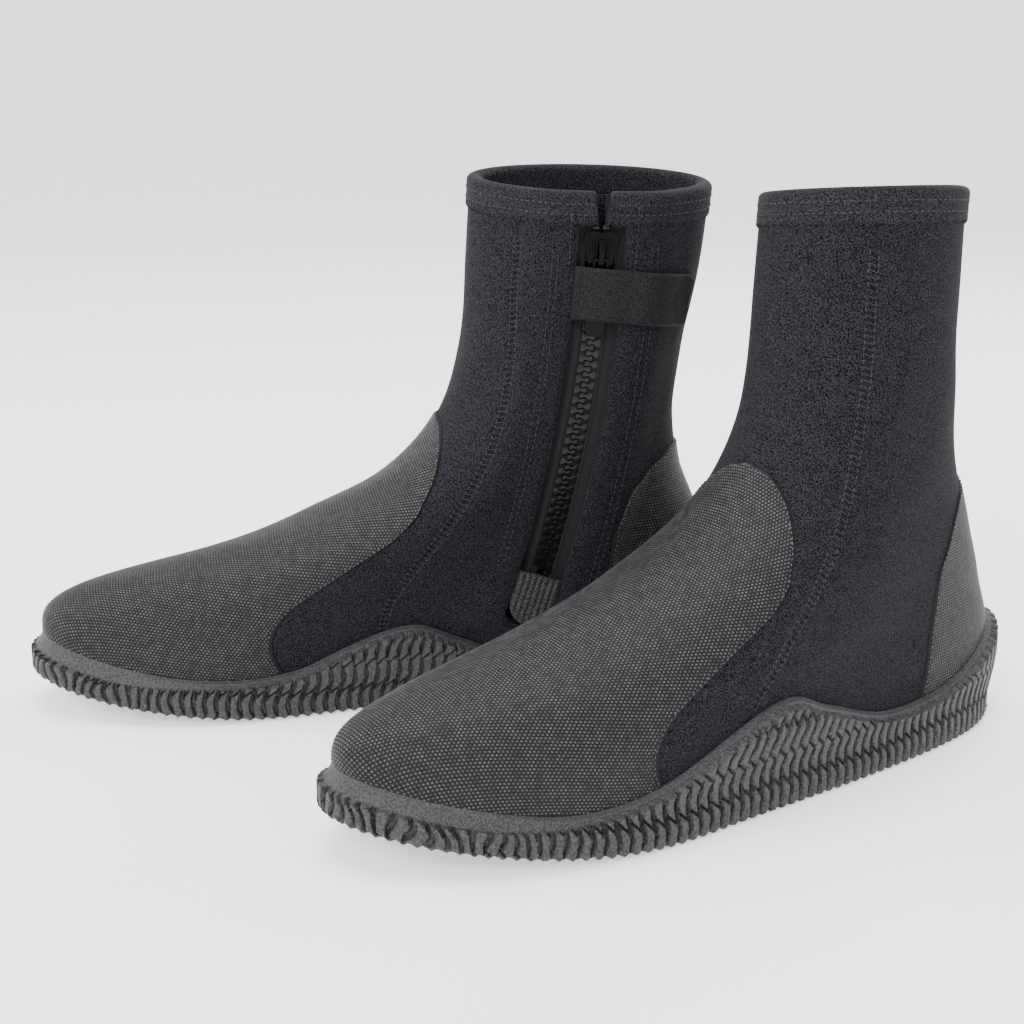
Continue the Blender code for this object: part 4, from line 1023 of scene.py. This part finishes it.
def make_outsole(boot):
    """Slab under the upper: its edge carries the slats on, and its underside the tread."""
    theta, run = even_round(boot, ROUND)
    rows = np.linspace(0, 1, 16)
    grid_theta, w = np.meshgrid(theta, rows, indexing="ij")
    run = np.broadcast_to(run[:, None], w.shape)
    height = (FEATHER_HEIGHT + 0.0001) * (1 - w)
    plan = edge_point(boot, grid_theta, np.full_like(w, SOLE_FLARE))
    relief = slats(run, height, plan[..., 1])
    knob = 0.5 + 0.5 * np.cos(2 * math.pi * run / SLAT_PITCH + 2.6)
    lower = ramp(w, 0.70, 0.25)
    out = SOLE_FLARE - RELIEF * (1 - relief) * (1 - 0.6 * lower) - lower * 0.0016 * (1 - knob)
    out = out - 0.0014 * ramp(w, 0.88, 0.12)
    edge = edge_point(boot, grid_theta, out)
    edge[..., 2] = height + spring(edge[..., 1])
    edge[:, -1, 2] += 0.0010 * (1 - knob[:, -1])
    back = edge_point(boot, grid_theta[:, :2], np.full((len(theta), 2), -0.006))
    back[:, 0, 2] = 0.0012 + spring(back[:, 0, 1])
    back[:, 1, 2] = FEATHER_HEIGHT - 0.0006 + spring(back[:, 1, 1])
    loop = np.concatenate([edge, back], axis=1)
    count, columns = loop.shape[:2]
    index = np.arange(count * columns).reshape(count, columns)
    after, beside = np.roll(index, -1, 0), np.roll(index, -1, 1)
    faces = np.stack([index, after, np.roll(after, -1, 1), beside], -1).reshape(-1, 4)
    shape = Shape().add(loop, faces, lengths(loop), 0)
    end = math.radians(1.5)
    u, across = np.meshgrid(np.linspace(0, 1, 230), np.linspace(0, 1, 90), indexing="ij")
    angle = np.arccos(np.clip(math.cos(end) * (1 - 2 * u), -1, 1))
    reach = np.full_like(u, SOLE_FLARE - 0.0042)
    lateral, medial = edge_point(boot, angle, reach), edge_point(boot, 2 * math.pi - angle, reach)
    low = medial + (lateral - medial) * across[..., None]
    high = low.copy()
    middle = (lateral[..., 0] + medial[..., 0]) / 2
    low[..., 2] = 0.0004 + tread(low[..., 0] - middle, low[..., 1]) + spring(low[..., 1])
    high[..., 2] = OUTSOLE_HEIGHT - 0.0002 + spring(high[..., 1])
    shape.slab(high, low, inner_kind=1)
    piece = shape.build(f"{boot.side}_outsole_tread", boot, (MATERIALS["rubber"], MATERIALS["tread"]), 50.0)
    stands_for(boot, piece, "outsole_rubber", "outsole")
    fix(boot, piece, "boot")


def make_insole(boot):
    end = math.radians(6)
    u, across = np.meshgrid(np.linspace(0, 1, 90), crowded(40, 0.05), indexing="ij")
    angle = np.arccos(np.clip(math.cos(end) * (1 - 2 * u), -1, 1))
    reach = np.full_like(u, -NEOPRENE - 0.0014)
    lateral, medial = edge_point(boot, angle, reach), edge_point(boot, 2 * math.pi - angle, reach)
    high = medial + (lateral - medial) * across[..., None]
    low = high.copy()
    side = np.minimum(across, 1 - across) * np.linalg.norm(lateral - medial, axis=-1)
    dish = 0.0009 * (1 - ramp(side, 0.0, 0.02)) + 0.0003 * np.sin(high[..., 1] / 0.05)
    high[..., 2] = FEATHER_HEIGHT + 0.0042 + spring(high[..., 1]) + dish - 0.0012 * np.exp(-side / 0.0008)
    low[..., 2] = FEATHER_HEIGHT + 0.0001 + spring(low[..., 1])
    piece = Shape().slab(high, low).build(f"{boot.side}_insole_pad", boot, (MATERIALS["foam"],))
    stands_for(boot, piece, "insole_foam", "insole")
    fix(boot, piece, "boot")


# ---- the zip ------------------------------------------------------------------------------------------
TAPE_HALF = 0.0004
TAPE_EDGE = 0.0127
TAPE_ENDS = (-0.0135, 0.160)


def rounded(size, bevel, segments=2):
    """Box about the origin with rounded edges."""
    bm = bmesh.new()
    bmesh.ops.create_cube(bm, size=1.0)
    for vert in bm.verts:
        vert.co = [c * extent for c, extent in zip(vert.co, size)]
    bmesh.ops.bevel(bm, geom=bm.edges[:] + bm.verts[:], offset=bevel, segments=segments, affect="EDGES",
                    profile=0.5)
    return bm


def at_zip(centre):
    return lambda x, y, z: zip_point(x + centre[0], y + centre[1], z + centre[2])


def plate(outline, thickness, bevel):
    """Flat plate with a given outline and rounded rims."""
    bm = bmesh.new()
    face = bm.faces.new([bm.verts.new((x, y, -thickness / 2)) for x, y in outline])
    made = bmesh.ops.extrude_face_region(bm, geom=[face], use_keep_orig=True)
    top = [item for item in made["geom"] if isinstance(item, bmesh.types.BMVert)]
    bmesh.ops.translate(bm, vec=(0, 0, thickness), verts=top)
    rims = [e for e in bm.edges if abs(e.verts[0].co.z - e.verts[1].co.z) < 1e-7]
    bmesh.ops.bevel(bm, geom=rims, offset=bevel, segments=2, affect="EDGES", profile=0.6)
    bmesh.ops.recalc_face_normals(bm, faces=bm.faces[:])
    return bm


def tooth(side):
    """Outline of one moulded tooth: a foot on the tape, a neck, and a head past the middle."""
    half = ((4.3, 1.85), (2.6, 1.85), (2.0, 1.35), (1.5, 0.82),
            (0.4, 0.80), (-0.1, 1.22), (-1.1, 1.25), (-1.55, 0.85))
    outline = [(side * s * 1e-3, a * 1e-3) for s, a in half]
    outline += [(side * s * 1e-3, -a * 1e-3) for s, a in half[::-1]]
    return outline if side > 0 else outline[::-1]


def make_chain(boot, name, side, moves):
    shape = Shape()
    for k in range(TEETH):
        a = CHAIN_START + (k + 0.5 + (0.5 if side > 0 else 0)) * TOOTH_PITCH
        shape.solid(plate(tooth(side), CHAIN_THICKNESS, 0.00030), at_zip((0, a, TAPE_DEPTH)))
    piece = shape.build(f"{boot.side}_{name}_teeth", boot, (MATERIALS["plastic"],), 40.0)
    stands_for(boot, piece, "zip_plastic", name + "_chain")
    if moves:
        bend(boot, piece)
    else:
        fix(boot, piece, "boot")


def make_tape(boot, name, side, moves):
    a, s = np.meshgrid(np.linspace(*TAPE_ENDS, 120), np.linspace(0.0016, TAPE_EDGE, 16), indexing="ij")
    cord = 0.0005 * np.exp(-((s - 0.0052) / 0.0006) ** 2)
    outer = zip_point(side * s, a, TAPE_DEPTH + TAPE_HALF + cord)
    inner = zip_point(side * s, a, TAPE_DEPTH - TAPE_HALF)
    shape = Shape().slab(outer, inner)
    piece = shape.build(f"{boot.side}_{name}_tape_twill", boot, (MATERIALS["tape"],))
    stands_for(boot, piece, "zip_tape", name + "_tape")
    if moves:
        bend(boot, piece)
    else:
        fix(boot, piece, "boot")


def make_stops(boot):
    for name, side, moves in (("front", -1, True), ("rear", 1, False)):
        stop = Shape().solid(rounded((0.0036, 0.0020, 0.0030), 0.0006),
                             at_zip((side * 0.0022, 0.0002, TAPE_DEPTH)))
        piece = stop.build(f"{boot.side}_{name}_stop", boot, (MATERIALS["plastic"],), 60.0)
        stands_for(boot, piece, "zip_plastic", name + "_top_stop")
        if moves:
            bend(boot, piece)
        else:
            fix(boot, piece, "boot")
    low = CHAIN_START + (TEETH + 0.5) * TOOTH_PITCH
    stop = Shape().solid(rounded((0.0084, 0.0048, 0.0034), 0.0008), at_zip((0, low + 0.0028, TAPE_DEPTH)))
    piece = stop.build(f"{boot.side}_zip_end_stop", boot, (MATERIALS["plastic"],), 60.0)
    stands_for(boot, piece, "zip_plastic", "bottom_stop")
    fix(boot, piece, "boot")


PATCH_START, PATCH_END, PATCH_HALF = 0.1525, 0.1757, 0.0097    # along the zip, and its half width
PATCH_RIB = 0.0026


def make_patch(boot):
    """Ribbed webbing over the zip's lower end, round at the bottom."""
    a, t = np.meshgrid(np.linspace(0, 1, 60), np.linspace(-1, 1, 90), indexing="ij")
    a = PATCH_START + (PATCH_END - PATCH_START) * a
    reach = PATCH_HALF * np.sqrt(1 - np.clip((a - (PATCH_END - PATCH_HALF)) / PATCH_HALF, 0, 0.985) ** 2)
    s = t * reach
    ribs = 0.00075 * np.abs(np.cos(s / PATCH_RIB * math.pi))
    picks = 0.00026 * np.cos(a / 0.0013 * 2 * math.pi + math.pi * np.round(s / PATCH_RIB))
    rim = 0.0010 * np.exp(-(reach - np.abs(s)) / 0.0007)
    outer = zip_point(s, a, -0.0012 + ribs + picks - rim)
    inner = zip_point(s, a, np.full_like(s, -0.0030))
    piece = Shape().slab(outer, inner).build(f"{boot.side}_end_webbing", boot, (MATERIALS["patch"],), 70.0)
    stands_for(boot, piece, "zip_tape", "end_patch")
    fix(boot, piece, "boot")


def make_gusset(boot):
    a, s = np.meshgrid(np.linspace(-0.013, 0.171, 110), crowded(30, 0.08) * 0.0256 - 0.0128, indexing="ij")
    fold = 0.0006 * np.sin(a / 0.021) * np.cos(s / 0.008) + 0.0003 * np.sin(a / 0.0083 + 40 * s)
    depth = -0.0101 + 0.0033 * ramp(s, 0.008, 0.0048) + fold * (np.abs(s) < 0.008)
    shape = Shape().slab(zip_point(s, a, depth), zip_point(s, a, depth - 0.0013))
    piece = shape.build(f"{boot.side}_gusset_flap", boot, (MATERIALS["lining"],))
    stands_for(boot, piece, "neoprene", "gusset")
    fix(boot, piece, "boot")


def make_slider(boot):
    """Moulded slider: two flared plates, side flanges, nose, and the bail that holds the pull."""
    shape = Shape()
    wide, narrow, half = 0.0074, 0.0052, 0.0090
    outline = [(-wide, -half + 0.0012), (-wide + 0.0012, -half), (-0.0016, -half), (0, -half + 0.0012),
               (0.0016, -half), (wide - 0.0012, -half), (wide, -half + 0.0012), (wide, -half + 0.0052),
               (narrow, 0.003), (narrow, half - 0.0014), (narrow - 0.0014, half), (-narrow + 0.0014, half),
               (-narrow, half - 0.0014), (-narrow, 0.003), (-wide, -half + 0.0052)]
    for depth in (-0.0031, -0.0084):
        shape.solid(plate(outline, 0.0018, 0.0005), at_zip((0, SLIDER_CENTRE, depth)))
    for side in (-1, 1):
        shape.solid(rounded((0.0018, 0.0164, 0.0020), 0.0006),
                    at_zip((side * 0.0052, SLIDER_CENTRE + 0.0002, -0.0042)))
        shape.solid(rounded((0.0018, 0.0120, 0.0012), 0.0004),
                    at_zip((side * 0.0048, SLIDER_CENTRE + 0.0022, -0.0072)))
        shape.solid(rounded((0.0014, 0.0130, 0.0009), 0.0004),
                    at_zip((side * 0.0030, SLIDER_CENTRE, -0.0020)))
    shape.solid(rounded((0.0024, 0.0024, 0.0052), 0.0006), at_zip((0, SLIDER_CENTRE - 0.0076, -0.0058)))
    steps = 16
    for k in range(steps):
        angle = math.pi * (k + 0.5) / steps
        rise = -0.0024 + 0.0042 * math.sin(angle) ** 0.55
        shape.solid(rounded((0.0026, 0.0019, 0.0013), 0.0004),
                    at_zip((0, SLIDER_CENTRE - 0.0052 * math.cos(angle), rise - 0.0006)))
    piece = shape.build(f"{boot.side}_slider_body", boot, (MATERIALS["gloss"],), 40.0)
    stands_for(boot, piece, "zip_plastic", "slider")
    fix(boot, piece, "zip_slider")


def make_pull(boot):
    """Flat pull hanging in the bail, with an eye at the top and grip ribs below."""
    shape = Shape()
    start = SLIDER_CENTRE + 0.0017
    outline = [(-0.0026, 0.0058), (0.0026, 0.0058), (0.0042, 0.0078), (0.0042, 0.0300), (0.0030, 0.0328),
               (-0.0030, 0.0328), (-0.0042, 0.0300), (-0.0042, 0.0078)]
    shape.solid(plate(outline, 0.0012, 0.0003), at_zip((0, start, -0.0002)))
    for side in (-1, 1):
        shape.solid(rounded((0.0014, 0.0070, 0.0012), 0.0004),
                    at_zip((side * 0.0029, start + 0.0034, -0.0002)))
    shape.solid(rounded((0.0070, 0.0015, 0.0012), 0.0004), at_zip((0, start + 0.0009, -0.0002)))
    for k in range(6):
        shape.solid(rounded((0.0062, 0.0009, 0.0006), 0.0002),
                    at_zip((0, start + 0.0120 + 0.0028 * k, 0.0005)))
    piece = shape.build(f"{boot.side}_pull", boot, (MATERIALS["gloss"],), 40.0)
    stands_for(boot, piece, "zip_plastic", "pull_tab")
    fix(boot, piece, "zip_pull")


# ---- the strap ----------------------------------------------------------------------------------------
STRAP_HALF_V = 0.87
STRAP_CORNER = 0.0085
FOLD_LENGTH = 0.006
# length of the strap's darker end: its tab fabric, with painted shade
SHADED_TAB_LENGTH = 0.0135


def strap_line(boot, first, last, columns, half_width, rows=14, corner=0.0):
    """Directions, levels, run and offset of a band along the strap's line."""
    front = float(zip_theta(boot, np.array([STRAP_HALF_V]), STRAP_AXIS)[0])
    u, t = np.meshgrid(np.linspace(0, 1, columns), np.linspace(-1, 1, rows), indexing="ij")

    def end_theta(end, at):
        return zip_theta(boot, at, end) if abs(end) < 0.1 else np.full_like(at, end)

    at = np.full_like(u, STRAP_HALF_V)
    run = np.zeros_like(u)
    for _ in range(5):
        start, stop = end_theta(first, at), end_theta(last, at)
        theta = start + (stop - start) * u
        share = np.clip((front - theta) / (front - math.radians(STRAP_END)), -0.2, 1)
        middle = STRAP_FRONT_HEIGHT + (STRAP_REAR_HEIGHT - STRAP_FRONT_HEIGHT) * share
        past = np.clip(run - (run[-1:] - corner), 0, corner * 0.985)
        half = half_width - corner + np.sqrt(corner**2 - past**2) if corner else half_width
        at = level(boot, theta, middle + half * t)
        run = length_along(boot.face(theta, at), 0)
    return theta, at, run, half * t + 0 * u, half + 0 * u


def strap_side(boot, first, last, half_width, low, high, name, body, node, material_name, slot, corner=0.0):
    """A plain band of the strap's line, with its edges rolled down."""
    theta, at, _, offset, half = strap_line(boot, first, last, 44, half_width, 18, corner)
    rim = 0.30 * (high - low) * np.exp(-(half - np.abs(offset)) / 0.0005)
    piece = Shape().slab(boot.skin(theta, at, high - rim), boot.skin(theta, at, np.full_like(at, low)))
    piece = piece.build(f"{boot.side}_{name}", boot, (MATERIALS[material_name],))
    stands_for(boot, piece, slot, node)
    fix(boot, piece, body)


def make_strap(boot):
    end = math.radians(STRAP_END)
    line = strap_line(boot, STRAP_AXIS + 0.0009, end, 130, STRAP_HALF_WIDTH, 30, STRAP_CORNER)
    theta, at, run, offset, half = line
    over = np.exp(-((run - 0.0095) / 0.0085) ** 2)
    dip = np.exp(-((run - 0.0225) / 0.0050) ** 2)
    tail = ramp(run, 0.024, 0.010)
    base = 0.0021 + 0.0009 * over - 0.0007 * dip - 0.0004 * tail
    rim = 0.0007 * np.exp(-(half - np.abs(offset)) / 0.0005) + 0.0005 * np.exp(-(run[-1:] - run) / 0.0006)
    bead = 0.00025 * np.exp(-((half - np.abs(offset) - 0.0014) / 0.0004) ** 2)
    bead = bead + 0.00025 * np.exp(-((run[-1:] - run - 0.0018) / 0.0004) ** 2)
    rib = 0.00007 * np.cos(run / 0.0013 * 2 * math.pi)
    outer = boot.skin(theta, at, base + 0.0015 - rim + bead + rib)
    inner = boot.skin(theta, at, base)
    shape = Shape().slab(outer, inner)
    # the strap's last stretch takes the darker webbing: a tab fabric, and painted shade where the strap's
    # rear lies flat
    on_tab = (run[:-1, :-1] > run[-1:, :-1] - SHADED_TAB_LENGTH).reshape(-1)
    shape.kinds[0] = np.concatenate([on_tab, on_tab, shape.kinds[0][2 * len(on_tab):]]).astype(int)
    piece = shape.build(f"{boot.side}_strap_webbing", boot, (MATERIALS["webbing"], MATERIALS["tab"]), 60.0)
    stands_for(boot, piece, "webbing", "strap", "strap_tab")
    joint = JOINTS[boot.side + "_strap_peel"]
    axis = np.array(joint["axis"]) / np.linalg.norm(joint["axis"])
    rear = strap_line(boot, math.radians(STRAP_FOLD), math.radians(STRAP_FOLD - 4), 2, 0.001, 3)
    ends = boot.world(boot.skin(rear[0][:, 1], rear[1][:, 1], np.full(2, 0.0037)))
    way = ends[1] - ends[0]
    way -= (way @ axis) * axis
    way = FOLD_LENGTH * way / np.linalg.norm(way)
    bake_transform(piece)
    strap_side(boot, math.radians(236), end + math.radians(3), 0.0095, 0.0012, 0.0019, "hook_pile",
               "strap_tab", "hook_patch", "hook", "hook_and_loop")
    strap_side(boot, math.radians(240), end - math.radians(2.5), 0.0107, 0.0001, 0.0010, "loop_pile", "boot",
               "loop_patch", "hook", "hook_and_loop", 0.0083)
    strap_side(boot, -0.0150, STRAP_AXIS - 0.0011, 0.0100, 0.0001, 0.0009, "strap_root", "shaft_front",
               "strap_anchor", "neoprene", "webbing")
    strap_side(boot, STRAP_AXIS - 0.0014, STRAP_AXIS + 0.0014, STRAP_HALF_WIDTH, 0.0010, 0.0036, "strap_fold",
               "strap_hinge", "strap_bar", "webbing", "webbing")


# ---- the whole ----------------------------------------------------------------------------------------
def make_boot(side):
    boot = Boot(side)
    make_upper(boot)
    make_cuff(boot)
    make_overlays(boot)
    make_stitches(boot)
    make_sidewall(boot)
    make_outsole(boot)
    make_insole(boot)
    for name, direction, moves in (("front", -1, True), ("rear", 1, False)):
        make_chain(boot, name, direction, moves)
        make_tape(boot, name, direction, moves)
    make_stops(boot)
    make_patch(boot)
    make_gusset(boot)
    make_slider(boot)
    make_pull(boot)
    make_strap(boot)


def lamp(name, place, aim, size, power):
    data = bpy.data.lights.new(name, "AREA")
    data.shape = "RECTANGLE"
    data.size, data.size_y = size
    data.energy = power
    made = bpy.data.objects.new(name, data)
    made.location = place
    made.rotation_euler = (Vector(aim) - Vector(place)).to_track_quat("-Z", "Y").to_euler()
    bpy.context.scene.collection.objects.link(made)


# the floor's flat radius, how far and how high its rim sweeps up, and in how many steps
SWEEP_START, SWEEP_DEPTH, SWEEP_RISE, SWEEP_STEPS = 2.2, 3.5, 3.2, 14
LIGHT_AIM = (0, 0, 0.10)


def make_studio():
    mesh = bpy.data.meshes.new("floor")
    bm = bmesh.new()
    bmesh.ops.create_circle(bm, cap_ends=True, segments=96, radius=SWEEP_START)
    rim = bm.edges[:]
    for step in range(1, SWEEP_STEPS + 1):
        share = step / SWEEP_STEPS
        made = bmesh.ops.extrude_edge_only(bm, edges=rim)["geom"]
        rim = [item for item in made if isinstance(item, bmesh.types.BMEdge)]
        for vert in [item for item in made if isinstance(item, bmesh.types.BMVert)]:
            outward = Vector((vert.co.x, vert.co.y, 0)).normalized()
            vert.co = outward * (SWEEP_START + SWEEP_DEPTH * share) + Vector((0, 0, SWEEP_RISE * share**2.2))
    bmesh.ops.recalc_face_normals(bm, faces=bm.faces[:])
    bm.to_mesh(mesh)
    bm.free()
    mesh.shade_smooth()
    pale = Paint("pale_floor", (0.90, 0.90, 0.90), 0.9, Specular_IOR_Level=0.1, Emission_Strength=0.75)
    mesh.materials.append(pale.made)
    ground = bpy.data.objects.new("floor", mesh)
    ground.location.z = -0.0003
    bpy.context.scene.collection.objects.link(ground)
    world = bpy.data.worlds.new("studio")
    world.use_nodes = True
    world.node_tree.nodes["Background"].inputs[0].default_value = (1, 1, 1, 1)
    world.node_tree.nodes["Background"].inputs[1].default_value = 1.0
    bpy.context.scene.world = world
    lamp("top_light", (-0.15, -0.1, 1.6), LIGHT_AIM, (1.0, 1.0), 26)
    lamp("key_light", (0.9, -1.2, 1.2), LIGHT_AIM, (0.35, 0.6), 22)
    lamp("toe_light", (-1.1, -1.2, 0.8), LIGHT_AIM, (0.4, 0.6), 14)
    lamp("back_light", (-0.5, 1.3, 1.1), LIGHT_AIM, (0.6, 0.5), 14)


CAMERA_TARGET = (-0.0068, -0.0020, 0.0876)
CAMERA_AZIMUTH, CAMERA_ELEVATION, CAMERA_DISTANCE = 57.61, 15.04, 0.7114
CAMERA_ROLL = 0.05
CAMERA_LENS = 58.15


def make_camera():
    data = bpy.data.cameras.new("camera")
    data.sensor_width, data.lens = 36.0, CAMERA_LENS
    camera = bpy.data.objects.new("camera", data)
    azimuth, elevation = math.radians(CAMERA_AZIMUTH), math.radians(CAMERA_ELEVATION)
    back = Vector((math.sin(azimuth) * math.cos(elevation), -math.cos(azimuth) * math.cos(elevation),
                   math.sin(elevation)))
    camera.location = Vector(CAMERA_TARGET) + back * CAMERA_DISTANCE
    camera.rotation_euler = (-back).to_track_quat("-Z", "Y").to_euler()
    camera.rotation_euler.rotate_axis("Z", math.radians(CAMERA_ROLL))
    data.clip_start = 0.01
    bpy.context.scene.collection.objects.link(camera)
    bpy.context.scene.camera = camera


make_camera()
make_studio()
for side_name in ("left", "right"):
    make_boot(side_name)
